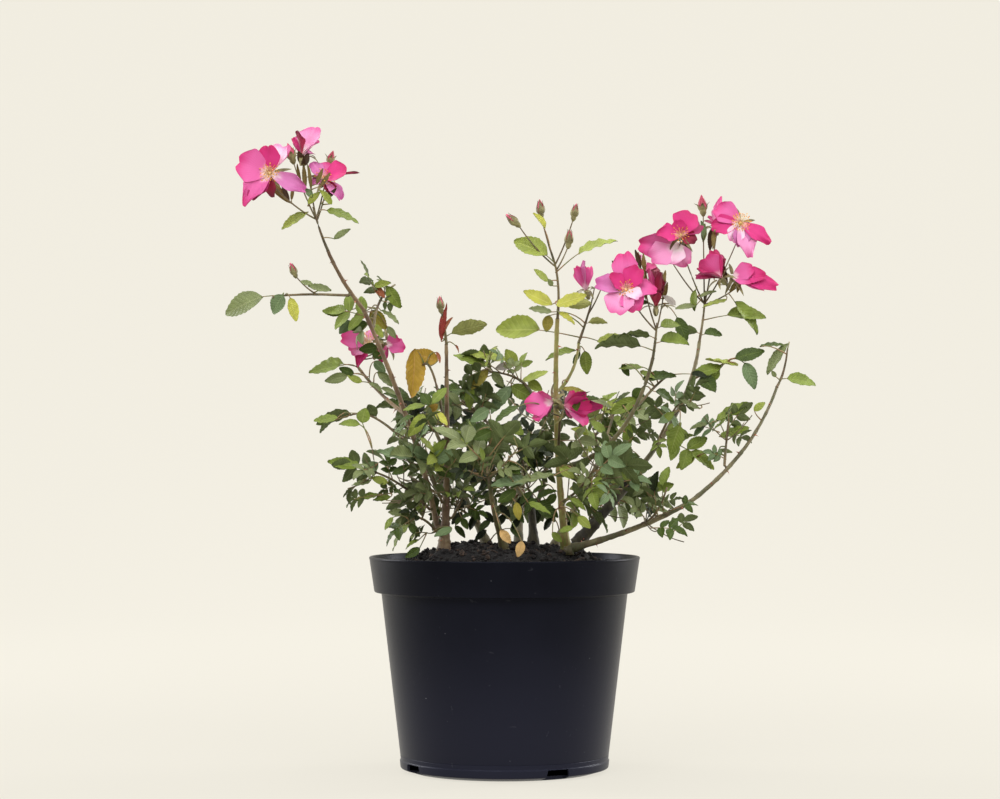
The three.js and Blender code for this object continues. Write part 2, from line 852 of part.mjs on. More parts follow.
    leaflets: 1,
    size: 30,
    reach: [[77, -34, 304], [90, -40, 264], [104, -38, 306], [70, -40, 286]],
  },
  {
    name: "spray_right_stem",
    on: ["shoot_right_top", 0.3],
    mid: [136, 18, 288],
    tip: [144, 14, 300],
    space: [[100, -20, 238], [182, 62, 332]],
    size: 42,
    leaflets: 5,
    reach: [[172, 8, 248], [153, 14, 276], [128, 12, 256], [114, 18, 308], [166, 26, 308]],
  },
  {
    name: "spray_right_back",
    on: ["shoot_right_top", 0.75],
    mid: [176, 60, 330],
    tip: [188, 58, 336],
    space: [[144, 18, 300], [246, 98, 358]],
    leaflets: 1,
    size: 36,
    reach: [[212, 50, 314], [158, 48, 330], [238, 56, 350], [176, 40, 312]],
  },
  {
    name: "spray_right_up",
    on: ["sweep_upper", 1],
    mid: [233, 38, 328],
    tip: [236, 36, 346],
    space: [[204, 0, 298], [268, 78, 360]],
    leaflets: 1,
    size: 38,
    reach: [[263, 40, 320], [218, 36, 327], [206, 32, 312]],
  },
  {
    name: "spray_right_sweep",
    on: ["sweep_upper", 0.32],
    mid: [182, 2, 268],
    tip: [184, 4, 286],
    space: [[138, -42, 234], [212, 50, 312]],
    size: 38,
    leaflets: 5,
    reach: [[203, 6, 302], [205, 8, 286], [162, 0, 262], [150, -4, 247], [190, 8, 252]],
  },
  {
    name: "spray_right_low",
    on: ["sweep_lower", 0.55],
    mid: [122, -44, 212],
    tip: [130, -50, 232],
    space: [[88, -90, 184], [172, 10, 258]],
    size: 40,
    leaflets: 5,
    reach: [[146, -40, 224], [112, -46, 218], [128, -44, 246]],
  },
  {
    name: "mass_back_left",
    on: ["cane_back_left", 1],
    mid: [-66, 106, 288],
    tip: [-72, 108, 306],
    space: [[-118, 52, 214], [-14, 156, 324]],
    leaves: 5,
    size: 44,
    leaflets: 5,
  },
  {
    name: "mass_back",
    on: ["cane_back", 1],
    mid: [30, 122, 294],
    tip: [36, 122, 308],
    space: [[-30, 70, 222], [74, 172, 320]],
    leaves: 4,
    size: 52,
    leaflets: 5,
  },
  {
    name: "mass_back_right",
    on: ["cane_back_right", 1],
    mid: [100, 118, 288],
    tip: [106, 116, 302],
    space: [[56, 64, 222], [148, 166, 316]],
    leaves: 4,
    size: 50,
    leaflets: 5,
  },
  {
    name: "mass_back_low",
    on: ["cane_back", 0.3],
    mid: [4, 100, 226],
    tip: [-10, 116, 244],
    space: [[-64, 50, 188], [58, 162, 264]],
    leaves: 3,
    size: 50,
    leaflets: 5,
  },
  {
    name: "mass_right_low",
    on: ["cane_back_right", 0.3],
    mid: [86, 62, 224],
    tip: [108, 66, 240],
    space: [[54, 20, 188], [138, 120, 260]],
    leaves: 3,
    size: 48,
    leaflets: 5,
  },
  {
    name: "mass_left_low",
    on: ["cane_back_left", 0.25],
    mid: [-54, 50, 224],
    tip: [-80, 54, 240],
    space: [[-106, 16, 188], [-28, 102, 262]],
    leaves: 4,
    size: 48,
    leaflets: 5,
  },
];

// A rounded box: full at the middle of its faces, short of its corners.
function isInside(space, point) {
  const [low, high] = space.map(vec);
  const middle = mix(low, high, 0.5);
  const half = high.clone().sub(low).multiplyScalar(0.5);
  const off = point.clone().sub(middle).divide(half);
  return off.x ** 4 + off.y ** 4 + off.z ** 4 <= 1;
}

function nearestShare(curve, point) {
  const shares = Array.from({ length: 21 }, (_, i) => i / 20);
  const distance = (share) => curve.getPoint(share).distanceTo(point);
  return shares.reduce((best, share) => (distance(share) < distance(best) ? share : best));
}

class Mass {
  constructor(plan, seed) {
    this.plan = plan;
    this.random = seededRandom(seed);
    this.solids = [];
    const start = branchStart(...plan.on, vec(plan.mid), STEM.radius[0]);
    this.stem = curveThrough(start, vec(plan.mid), vec(plan.tip));
    this.take(curvePoints(this.stem, STEM.spacing), STEM.radius[0]);
  }

  isFree(points) {
    const { name, space } = this.plan;
    return points.every(
      (point) => isInside(space, point) && room.isFree(name, point, GROWTH.touch, GROWTH.crowding)
    );
  }

  take(points, radius, isLeaf = false) {
    for (const point of points) room.take(this.plan.name, point, radius, isLeaf);
  }

  add(geometry) {
    this.solids.push(toSolid(geometry));
  }

  vary(amount) {
    return 1 + (this.random() * 2 - 1) * amount;
  }

  // A direction that leaves an axis at the growth angle, turned round it by a bud's angle.
  leaving(axis, turn) {
    const [first, second] = sideways(axis);
    const outward = first.multiplyScalar(Math.cos(turn)).addScaledVector(second, Math.sin(turn));
    return axis
      .clone()
      .multiplyScalar(Math.cos(GROWTH.spread))
      .addScaledVector(outward, Math.sin(GROWTH.spread))
      .addScaledVector(UP, GROWTH.lift)
      .normalize();
  }

  growStem() {
    const [start, tip] = STEM.radius;
    const radiusAt = (share) => THREE.MathUtils.lerp(start, tip, share);
    this.add(taperedTube(this.stem, radiusAt, TWIG.sides, STEM.steps, false));
  }

  twig(start, end, radius) {
    const curve = new THREE.LineCurve3(start, end);
    const radiusAt = (share) => radius * (1 - TWIG.taper * share);
    this.add(taperedTube(curve, radiusAt, TWIG.sides, 1, false));
    this.take(pointsAlong(start, end, GROWTH.spacing), radius);
  }

  // Points over a leaf's stalk and leaflets, in the space given by place.
  leafPoints(pairs, endLength, place) {
    const { rows, end } = leafletsOf(pairs, endLength);
    const points = STALK_SPOTS.map((y) => place(new THREE.Vector3(0, y, 0.5)));
    for (const { root, turn, length } of [...rows, end]) {
      for (const hand of turn === 0 ? [1] : [1, -1]) {
        for (const [run, across] of LEAFLET_SPOTS) {
          const half = (length * GROWTH.leafletWidth) / 2;
          const x = Math.sin(turn) * run * length - Math.cos(turn) * across * half;
          const y = root.y + Math.cos(turn) * run * length + Math.sin(turn) * across * half;
          points.push(place(new THREE.Vector3(hand * x, y, 0.5)));
        }
      }
    }
    return points;
  }

  // A leaf of a given length from base along heading; it loses pairs, or isn't grown, where it has no room.
  growLeaf(base, heading, size, endLength = GROWTH.endLeaflet) {
    const roll = (this.random() < 0.5 ? -1 : 1) * GROWTH.roll * this.vary(GROWTH.rollVary);
    const face = sideways(heading)[0].applyAxisAngle(heading, roll);
    const side = new THREE.Vector3().crossVectors(heading, face).normalize();
    const place = ({ x, y, z }) => {
      const bend = Math.abs(x) * GROWTH.leafFold + Math.max(y, 0) * (1 - y) * GROWTH.leafArch;
      return base
        .clone()
        .addScaledVector(heading, y * size)
        .addScaledVector(side, x * size)
        .addScaledVector(face, bend * size + (z - 0.5) * GROWTH.leafThick);
    };
    const most = (this.plan.leaflets - 1) / 2;
    for (let pairs = most; pairs >= Math.min(most, 1); pairs -= 1) {
      const points = this.leafPoints(pairs, endLength, place);
      if (this.isFree(points)) {
        this.add(leafShape(pairs, endLength, size, place));
        this.take(points, 0, true);
        return true;
      }
    }
    return false;
  }

  // A side twig with leaves along it and one at its end.
  growTwig(base, heading, length, leaves) {
    const end = along(base, heading, length);
    if (!this.isFree(pointsAlong(along(base, heading, TWIG.bare), end, GROWTH.spacing))) return false;
    this.twig(base, end, TWIG.radius);
    const { size } = this.plan;
    const turn = this.random() * Math.PI * 2;
    for (let i = 0; i < leaves; i += 1) {
      const share = TWIG.firstLeaf + (TWIG.leafRun * i) / leaves;
      const at = along(base, heading, length * share);
      this.growLeaf(at, this.leaving(heading, turn + i * GROWTH.twist), size * this.vary(TWIG.leafVary));
    }
    return this.growLeaf(end, heading, size);
  }

  // The place on the stem from which something goes out to target.
  forkFor(target, back) {
    const share = Math.max(nearestShare(this.stem, target) - back, FORK.lowest);
    return this.stem.getPoint(share + this.random() * FORK.vary);
  }

  // A leaf, on a twig where it is far, whose tip is at a given place on the crown's edge.
  growReach(target) {
    const base = this.forkFor(target, FORK.leafBack);
    const heading = target.clone().sub(base).normalize();
    const distance = target.distanceTo(base);
    if (this.plan.leaflets === 1) {
      this.growLeaf(base, heading, distance, Math.min(this.plan.size / distance, FORK.longestEnd));
      return;
    }
    const size = Math.min(distance, this.plan.size * FORK.leafStretch);
    const leafBase = along(base, heading, distance - size);
    if (distance > size + TWIG.radius) this.twig(base, leafBase, TWIG.radius);
    this.growLeaf(leafBase, heading, size);
  }

  growStalk(target) {
    this.twig(this.forkFor(target, FORK.stalkBack), target, BLOOM.stalkRadius);
  }

  // A five-petalled bloom on its stalk, opened by an angle from its facing.
  growBloom([place, facing, radius, opening]) {
    const throat = vec(place);
    const axis = vec(facing).normalize();
    const base = along(throat, axis, -BLOOM.calyxHeight);
    this.growStalk(along(base, axis, BLOOM.stalkRun));
    const calyx = new THREE.LineCurve3(base, along(throat, axis, BLOOM.calyxRun));
    const radiusAt = (share) => BLOOM.calyxRadius * THREE.MathUtils.lerp(BLOOM.calyxFoot, 1, share);
    this.add(taperedTube(calyx, radiusAt, BLOOM.calyxSides, 1, false));
    const open = THREE.MathUtils.degToRad(opening);
    this.add(corollaShape(throat, axis, radius, open, this.random() * Math.PI * 2));
    this.take([along(throat, axis, radius * BLOOM.room.back)], radius * BLOOM.room.radius);
  }

  growBud([place, facing, length]) {
    const base = vec(place);
    const axis = vec(facing).normalize();
    this.growStalk(along(base, axis, BLOOM.stalkRun));
    const tip = along(base, axis, length);
    const steps = BUD.profile.length - 1;
    const radiusAt = (share) => length * BUD.radius * BUD.profile[Math.round(share * steps)];
    this.add(taperedTube(new THREE.LineCurve3(base, tip), radiusAt, BUD.sides, steps, false));
    this.take(pointsAlong(base, tip, GROWTH.spacing), length * BUD.room);
  }

  growEdge() {
    const { reach, blooms, buds } = this.plan;
    for (const bloom of blooms) this.growBloom(bloom);
    for (const bud of buds) this.growBud(bud);
    for (const target of reach) this.growReach(vec(target));
  }

  // A leaf or twig at a place on the stem, turned on by the twist until it finds room.
  growAt(share, turn, isTwig) {
    const { size } = this.plan;
    const base = this.stem.getPoint(share);
    const axis = this.stem.getTangent(share);
    for (let attempt = 0; attempt < GROWTH.attempts; attempt += 1) {
      const heading = this.leaving(axis, turn + attempt * GROWTH.twist);
      const grown = isTwig
        ? this.growTwig(base, heading, size * TWIG.length * this.vary(TWIG.lengthVary), TWIG.leaves)
        : this.growLeaf(base, heading, size * this.vary(GROWTH.leafVary));
      if (grown) return;
    }
  }

  growFill() {
    const { leaves, twigs, size } = this.plan;
    const turn = this.random() * Math.PI * 2;
    const spots = leaves + twigs;
    for (let i = 0; i < spots; i += 1) {
      const share = GROWTH.firstSpot + (GROWTH.spotRun * (i + 0.5)) / spots;
      this.growAt(share, turn + i * GROWTH.twist, i < twigs);
    }
    this.growLeaf(this.stem.getPoint(1), this.stem.getTangent(1), size);
  }
}

// ---------------------------------------------------------------- assembly

const plant = new THREE.Group();
plant.name = "potted_rose_bush";

function addNode(name, solid, material) {
  const mesh = new THREE.Mesh(toGeometry(solid), material);
  mesh.name = name;
  plant.add(mesh);
}

addNode("pot", potSolid(), FINISH.pot());
addNode("soil", soilSolid(), FINISH.soil());

for (const limb of LIMBS) layLimb(limb);
for (const limb of limbs.values()) addNode(limb.name, limbSolid(limb), FINISH.bark());

const masses = MASSES.map((plan, index) => new Mass({ ...PLAIN_MASS, ...plan }, GROWTH.seed + index));
for (const mass of masses) mass.growEdge();
for (const mass of masses) mass.growFill();
for (const mass of masses) {
  mass.growStem();
  const material = mass.plan.blooms.length > 0 ? FINISH.bloom() : FINISH.leaf();
  addNode(mass.plan.name, fuse(mass.solids), material);
}

export default plant;
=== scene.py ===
"""A small bush rose in flower in a round nursery pot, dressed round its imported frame.

Lengths in the tables are millimetres. The pot's flat underside stands on z = 0 and the front faces -Y.
"""

import math
from functools import cache

import bpy
import numpy as np
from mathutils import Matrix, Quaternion, Vector


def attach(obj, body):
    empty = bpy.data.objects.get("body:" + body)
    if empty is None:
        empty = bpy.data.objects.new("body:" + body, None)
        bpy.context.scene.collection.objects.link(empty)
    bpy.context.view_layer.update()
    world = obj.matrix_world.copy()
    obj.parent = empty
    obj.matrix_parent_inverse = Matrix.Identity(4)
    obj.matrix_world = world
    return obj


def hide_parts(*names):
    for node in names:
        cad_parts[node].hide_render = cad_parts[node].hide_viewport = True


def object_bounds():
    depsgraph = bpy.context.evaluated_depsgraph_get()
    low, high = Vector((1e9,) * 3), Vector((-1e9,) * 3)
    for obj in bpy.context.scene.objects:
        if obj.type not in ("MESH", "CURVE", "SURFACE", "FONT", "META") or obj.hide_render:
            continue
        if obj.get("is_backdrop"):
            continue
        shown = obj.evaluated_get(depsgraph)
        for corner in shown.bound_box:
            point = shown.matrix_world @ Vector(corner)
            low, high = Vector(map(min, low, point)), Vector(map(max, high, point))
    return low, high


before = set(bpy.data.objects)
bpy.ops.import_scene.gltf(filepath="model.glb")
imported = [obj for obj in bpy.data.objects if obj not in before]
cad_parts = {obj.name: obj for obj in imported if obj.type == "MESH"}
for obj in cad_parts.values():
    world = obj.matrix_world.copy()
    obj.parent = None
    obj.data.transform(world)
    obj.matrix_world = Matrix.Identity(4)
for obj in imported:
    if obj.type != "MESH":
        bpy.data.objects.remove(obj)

bl_info = {
    "name": "Potted rose bush",
    "version": (1, 0, 0),
    "blender": (4, 5, 0),
    "location": "View3D > Sidebar > Rose",
    "description": "Grows a bush rose with its leaves, blooms and buds in a nursery pot of compost",
    "category": "Object",
}

CAD_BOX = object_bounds()
MM = 0.001
FRAME_EDGE = 4
FRAME_LOW = np.array(CAD_BOX[0]) / MM + FRAME_EDGE
FRAME_HIGH = np.array(CAD_BOX[1]) / MM - FRAME_EDGE
BODY = "root"

# ---------------------------------------------------------------- sizes shared with the frame

POT = {
    "height": 175, "rim_radius": 111, "rim_foot_radius": 106.5, "rim_depth": 29.5,
    "wall_top_radius": 100.8, "wall_foot_radius": 84.7, "foot_band": 9, "foot_band_radius": 85.6,
    "base_radius": 75, "notch_count": 4, "notch_first": 30, "notch_top": 18.6, "notch_foot": 23.5,
    "notch_height": 9, "notch_depth": 9,
}
SOIL_TOP = 182
SOIL_FLAT = 68
CLEAR = 0.35
FLARE = 0.7
FLARE_HEIGHT = 12
STEM_RADIUS = (1.5, 0.9)
SEED = 112
TWIST = math.radians(137.5)
SPREAD = math.radians(58)
LIFT = 0.22
ROLL = math.radians(52)
END_LEAFLET = 0.46
SIDE_LEAFLET = 0.41
LOWER_LEAFLET = 0.36
LEAFLET_WIDTH = 0.66
LEAFLET_SPREAD = math.radians(68)
FIRST_PAIR = 0.47
SECOND_PAIR = 0.23
LEAF_FOLD = 0.18
LEAF_ARCH = 0.3
LEAF_THICK = 0.14
PETAL_THICK = 0.22
SEPAL_THICK = 0.18
TWIG_RADIUS = 1.1
STALK_RADIUS = 0.9
TOUCH = 3.4
CROWDING = 3.2
ATTEMPTS = 4
CALYX_HEIGHT = 8
CELL = 18
UP = Vector((0, 0, 1))


def limb(name, mid, tip, radius, foot=None, on=None):
    return {"name": name, "foot": foot, "on": on, "mid": mid, "tip": tip, "radius": radius}


def mass(name, on, mid, tip, space, leaves=0, size=40, leaflets=3, reach=(), blooms=(), buds=()):
    return dict(locals())


# Each limb: its middle, its tip, its radius at both ends, and its foot on the soil or the limb it leaves.
LIMBS = [
    limb("cane_left", (-47, -18, 247), (-47, -34, 347), (4, 1.4), foot=(-49, -12)),
    limb("cane_left_tall", (-77, -6, 280), (-114, -24, 375), (2.6, 1.8), on=("cane_left", 0.15)),
    limb("shoot_left_top", (-130, -37, 398), (-142, -47, 422), (1.8, 1.4), on=("cane_left_tall", 1)),
    limb("bough_left_low", (-102, 22, 308), (-121, 44, 329), (1.7, 1.2), on=("cane_left_tall", 0.57)),
    limb("stem_main", (23, 8, 204), (21, 11, 225), (3.4, 2.8), foot=(24, 8)),
    limb("bough_arch", (36, 32, 270), (19, 52, 315), (2.2, 1.4), on=("stem_main", 0.8)),
    limb("bough_inner", (-3, 40, 254), (-14, 66, 284), (2, 1.4), on=("stem_main", 0.9)),
    limb("shoot_centre", (42, -46, 278), (42, -70, 366), (3, 1.8), foot=(50, -20)),
    limb("twig_centre", (55, -42, 327), (60, -30, 348), (1.5, 1.1), on=("shoot_centre", 0.67)),
    limb("cane_right_cut", (80, 5, 209), (103, 4, 236), (4.8, 4.2), foot=(58, 6)),
    limb("shoot_right_top", (143, 44, 291), (166, 82, 354), (2.4, 1.5), on=("cane_right_cut", 0.8)),
    limb("shoot_right_mid", (91, -60, 275), (117, -82, 334), (2.2, 1.4), on=("shoot_centre", 0.34)),
    limb("sweep_lower", (106, -32, 199), (151, -18, 220), (2.6, 2), foot=(52, -38)),
    limb("sweep_upper", (197, 6, 263), (227, 36, 314), (1.9, 1.2), on=("sweep_lower", 1)),
    limb("cane_back_left", (-38, 68, 232), (-58, 96, 276), (3, 1.6), foot=(-14, 34)),
    limb("cane_back", (16, 86, 238), (24, 110, 284), (3, 1.6), foot=(12, 48)),
    limb("cane_back_right", (72, 78, 236), (92, 108, 276), (3, 1.6), foot=(42, 38)),
    limb("cane_front", (-8, -64, 212), (-12, -86, 236), (2.6, 1.7), foot=(0, -40)),
]

# Each mass: the limb that its stem leaves, the stem's middle and tip and the space that it fills; then its
# leaves, their length and leaflets, the points that its edge reaches, its blooms and its buds.
MASSES = [
    mass("bloom_left_top", ("shoot_left_top", 1), (-148, -54, 438), (-153, -60, 456),
         ((-226, -125, 416), (-106, -10, 526)), size=32, leaflets=1, reach=((-176, -64, 440),
         (-117, -56, 450), (-126, -52, 427)), blooms=(((-190, -86, 477), (-0.35, -1, 0.15), 26),
         ((-157, -58, 497), (0.15, 0.5, 1), 21), ((-137, -54, 476), (0.7, -0.6, 0.1), 24)),
         buds=(((-168, -66, 490), (-0.3, -0.2, 1), 17), ((-142, -44, 490), (0.3, 0.2, 1), 14))),
    mass("spray_left_arm", ("shoot_left_top", 0.3), (-160, -58, 386), (-184, -74, 383),
         ((-232, -112, 350), (-132, -20, 424)), size=34, leaflets=1, reach=((-224, -80, 374),
         (-190, -74, 364), (-172, -66, 360)), buds=(((-166, -64, 399), (-0.4, -0.1, 1), 13),)),
    mass("spray_left_mid", ("cane_left_tall", 0.93), (-102, -2, 384), (-90, 8, 398),
         ((-156, -44, 332), (-70, 56, 420)), leaves=1, size=42, leaflets=5, reach=((-148, 4, 378),
         (-125, -4, 344), (-92, -8, 347), (-84, 6, 380), (-104, 12, 406))),
    mass("bloom_left_low", ("bough_left_low", 1), (-123, 47, 335), (-118, 46, 342),
         ((-172, 0, 296), (-68, 98, 376)), size=30, leaflets=1, reach=((-164, 54, 334), (-150, 40, 320),
         (-128, 44, 306), (-92, 38, 312), (-140, 30, 326)), blooms=(((-122, 42, 346), (-0.3, -1, 0.35), 21),
         ((-92, 38, 348), (0.7, -0.5, -0.3), 14)), buds=(((-109, 44, 338), (0.3, -0.2, 0.8), 15),)),
    mass("spray_left_reach", ("cane_left_tall", 0.4), (-104, -8, 287), (-126, -10, 290),
         ((-160, -52, 262), (-78, 40, 312)), size=30, leaflets=1, reach=((-155, -12, 288), (-140, 4, 282),
         (-112, -14, 300), (-138, -20, 296))),
    mass("spray_left_low", ("cane_left_tall", 0.1), (-88, -28, 236), (-114, -34, 246),
         ((-150, -78, 180), (-60, 18, 268)), leaves=1, size=44, leaflets=5, reach=((-141, -36, 252),
         (-128, -34, 234), (-104, -34, 224), (-84, -30, 196), (-97, -30, 262))),
    mass("spray_left_foot", ("cane_left", 0.1), (-66, -30, 206), (-76, -36, 204),
         ((-112, -68, 174), (-50, 2, 226)), size=36, reach=((-98, -36, 186), (-84, -44, 182))),
    mass("leaves_bronze", ("cane_left", 0.72), (-58, -42, 324), (-66, -44, 330),
         ((-90, -80, 284), (-46, -4, 354)), size=36, leaflets=1, reach=((-78, -46, 308), (-54, -44, 343),
         (-64, -36, 290), (-56, -40, 312))),
    mass("tip_red", ("cane_left", 1), (-49, -38, 364), (-51, -42, 376), ((-64, -74, 335), (4, -5, 392)),
         size=36, leaflets=1, reach=((-14, -36, 366), (-26, -32, 346)),
         buds=(((-51, -42, 372), (-0.1, 0, 1), 14),)),
    mass("spray_arch", ("bough_arch", 1), (6, 56, 324), (-14, 58, 328), ((-58, 16, 284), (42, 98, 356)),
         size=42, reach=((-36, 58, 347), (17, 58, 346), (-41, 52, 307), (34, 50, 327), (-6, 62, 304),
         (26, 54, 300))),
    mass("mass_inner_left", ("bough_inner", 1), (-24, 70, 294), (-36, 66, 304),
         ((-82, 16, 232), (14, 112, 326)), leaves=4, size=50, leaflets=5, reach=((-68, 56, 296),
         (-30, 70, 252))),
    mass("bloom_centre_low", ("shoot_centre", 0.42), (44, -66, 284), (46, -74, 292),
         ((2, -128, 244), (92, -46, 320)), size=36, reach=((74, -70, 268), (20, -72, 262)),
         blooms=(((30, -84, 296), (-0.7, -0.7, 0.5), 17), ((60, -84, 297), (0.6, -0.8, 0.45), 22))),
    mass("mass_left", ("cane_left", 0.32), (-62, -34, 250), (-72, -42, 272),
         ((-102, -88, 196), (-24, 18, 304)), leaves=4, size=48, leaflets=5),
    mass("mass_left_inner", ("cane_left", 0.22), (-30, -8, 234), (-24, 2, 268),
         ((-56, -48, 186), (10, 44, 304)), leaves=3, size=48, leaflets=5, reach=((-30, -22, 198),
         (-4, -14, 206))),
    mass("mass_centre", ("stem_main", 1), (16, 4, 246), (14, -4, 272), ((-22, -46, 200), (62, 44, 304)),
         leaves=4, size=48, leaflets=5, reach=((38, -22, 208), (6, -26, 212))),
    mass("mass_front", ("cane_front", 1), (-14, -92, 250), (-12, -90, 266),
         ((-64, -138, 200), (38, -44, 298)), leaves=4, size=48, leaflets=5, reach=((-4, -92, 206),
         (-30, -84, 204), (30, -86, 207))),
    mass("mass_front_right", ("shoot_centre", 0.2), (62, -62, 234), (72, -76, 250),
         ((28, -122, 192), (122, -34, 278)), leaves=3, size=46, leaflets=5, reach=((54, -72, 200),
         (84, -64, 198))),
    mass("mass_right", ("cane_right_cut", 0.4), (76, -4, 246), (74, -8, 276),
         ((44, -46, 200), (122, 52, 306)), leaves=3, size=46, leaflets=5),
    mass("buds_centre_top", ("shoot_centre", 1), (42, -78, 396), (36, -84, 420),
         ((-6, -128, 358), (98, -38, 466)), size=32, leaflets=1, reach=((6, -84, 432), (87, -80, 431),
         (9, -84, 404), (13, -82, 380), (68, -76, 378), (66, -78, 392), (22, -84, 392)),
         buds=(((12, -86, 438), (-0.8, -0.2, 0.7), 15), ((29, -84, 445), (-0.1, 0, 1), 15),
         ((54, -82, 443), (0.2, 0, 1), 14), ((50, -84, 421), (0.1, -0.1, 1), 15))),
    mass("bloom_centre_mid", ("twig_centre", 1), (66, -28, 366), (70, -30, 380),
         ((-18, -66, 314), (92, 14, 418)), size=38, leaflets=1, reach=((-9, -22, 361), (63, -30, 322),
         (33, -28, 343), (12, -20, 346), (84, -26, 366)), blooms=(((70, -30, 398), (-0.4, -0.5, 0.6), 19),),
         buds=(((78, -36, 392), (0.3, -0.3, 0.9), 12),)),
    mass("bloom_right_a", ("shoot_right_mid", 1), (119, -86, 350), (120, -88, 362),
         ((62, -135, 334), (160, -34, 430)), size=36, leaflets=1, reach=((89, -84, 358), (148, -82, 350),
         (72, -80, 349), (107, -84, 344), (140, -80, 364)), blooms=(((95, -98, 386), (-0.35, -1, 0.3), 25),
         ((110, -74, 404), (0.1, -0.35, 1), 19), ((127, -90, 384), (0.3, -0.9, 0.35), 19))),
    mass("bloom_right_b", ("shoot_right_top", 1), (170, 90, 376), (172, 94, 398),
         ((110, 36, 350), (244, 144, 490)), size=36, leaflets=1, reach=((226, 90, 378), (201, 88, 392),
         (146, 88, 366), (188, 92, 362)), blooms=(((148, 74, 440), (-0.3, -1, 0.45), 22),
         ((136, 84, 426), (-0.7, -0.7, -0.1), 20), ((200, 84, 440), (0.4, -1, 0.4), 22),
         ((176, 76, 414), (0.1, -0.9, 0.1), 20), ((210, 86, 406), (0.9, -0.3, 0.15), 23),
         ((184, 94, 456), (0.35, 0.5, 1), 18)), buds=(((170, 88, 462), (-0.1, 0, 1), 18),)),
    mass("spray_right_mid", ("shoot_right_mid", 0.72), (124, -56, 316), (134, -54, 322),
         ((86, -92, 286), (170, -12, 346)), size=30, leaflets=1, reach=((94, -60, 332), (148, -56, 342),
         (118, -56, 304), (136, -50, 300), (158, -50, 322))),
    mass("spray_right_inner", ("shoot_right_mid", 0.34), (86, -36, 284), (90, -32, 298),
         ((54, -72, 254), (124, 6, 318)), size=30, leaflets=1, reach=((77, -34, 304), (90, -40, 264),
         (104, -38, 306), (70, -40, 286))),
    mass("spray_right_stem", ("shoot_right_top", 0.3), (136, 18, 288), (144, 14, 300),
         ((100, -20, 238), (182, 62, 332)), size=42, leaflets=5, reach=((172, 8, 248), (153, 14, 276),
         (128, 12, 256), (114, 18, 308), (166, 26, 308))),
    mass("spray_right_back", ("shoot_right_top", 0.75), (176, 60, 330), (188, 58, 336),
         ((144, 18, 300), (246, 98, 358)), size=36, leaflets=1, reach=((212, 50, 314), (158, 48, 330),
         (238, 56, 350), (176, 40, 312))),
    mass("spray_right_up", ("sweep_upper", 1), (233, 38, 328), (236, 36, 346),
         ((204, 0, 298), (268, 78, 360)), size=38, leaflets=1, reach=((263, 40, 320), (218, 36, 327),
         (206, 32, 312))),
    mass("spray_right_sweep", ("sweep_upper", 0.32), (182, 2, 268), (184, 4, 286),
         ((138, -42, 234), (212, 50, 312)), size=38, leaflets=5, reach=((203, 6, 302), (205, 8, 286),
         (162, 0, 262), (150, -4, 247), (190, 8, 252))),
    mass("spray_right_low", ("sweep_lower", 0.55), (122, -44, 212), (130, -50, 232),
         ((88, -90, 184), (172, 10, 258)), size=40, leaflets=5, reach=((146, -40, 224), (112, -46, 218),
         (128, -44, 246))),
    mass("mass_back_left", ("cane_back_left", 1), (-66, 106, 288), (-72, 108, 306),
         ((-118, 52, 214), (-14, 156, 324)), leaves=5, size=44, leaflets=5),
    mass("mass_back", ("cane_back", 1), (30, 122, 294), (36, 122, 308), ((-30, 70, 222), (74, 172, 320)),
         leaves=4, size=52, leaflets=5),
    mass("mass_back_right", ("cane_back_right", 1), (100, 118, 288), (106, 116, 302),
         ((56, 64, 222), (148, 166, 316)), leaves=4, size=50, leaflets=5),
    mass("mass_back_low", ("cane_back", 0.3), (4, 100, 226), (-10, 116, 244),
         ((-64, 50, 188), (58, 162, 264)), leaves=3, size=50, leaflets=5),
    mass("mass_right_low", ("cane_back_right", 0.3), (86, 62, 224), (108, 66, 240),
         ((54, 20, 188), (138, 120, 260)), leaves=3, size=48, leaflets=5),
    mass("mass_left_low", ("cane_back_left", 0.25), (-54, 50, 224), (-80, 54, 240),
         ((-106, 16, 188), (-28, 102, 262)), leaves=4, size=48, leaflets=5),
]

# How each mass is filled beyond its larger leaves: side twigs, leaves on each, and the leaves' length.
FINER_MASS = (7, 2, 34)
FINER = {
    "mass_left": (10, 2, 32), "mass_left_inner": (10, 3, 30), "mass_centre": (14, 3, 30),
    "mass_front": (14, 3, 31), "mass_front_right": (6, 2, 30), "mass_right": (4, 2, 28),
    "mass_inner_left": (5, 1, 32), "spray_arch": (2, 1, 26), "spray_left_low": (2, 1, 28),
    "spray_left_foot": (3, 1, 26), "spray_right_low": (4, 2, 28), "spray_right_sweep": (2, 1, 24),
    "spray_right_stem": (2, 1, 26),
}

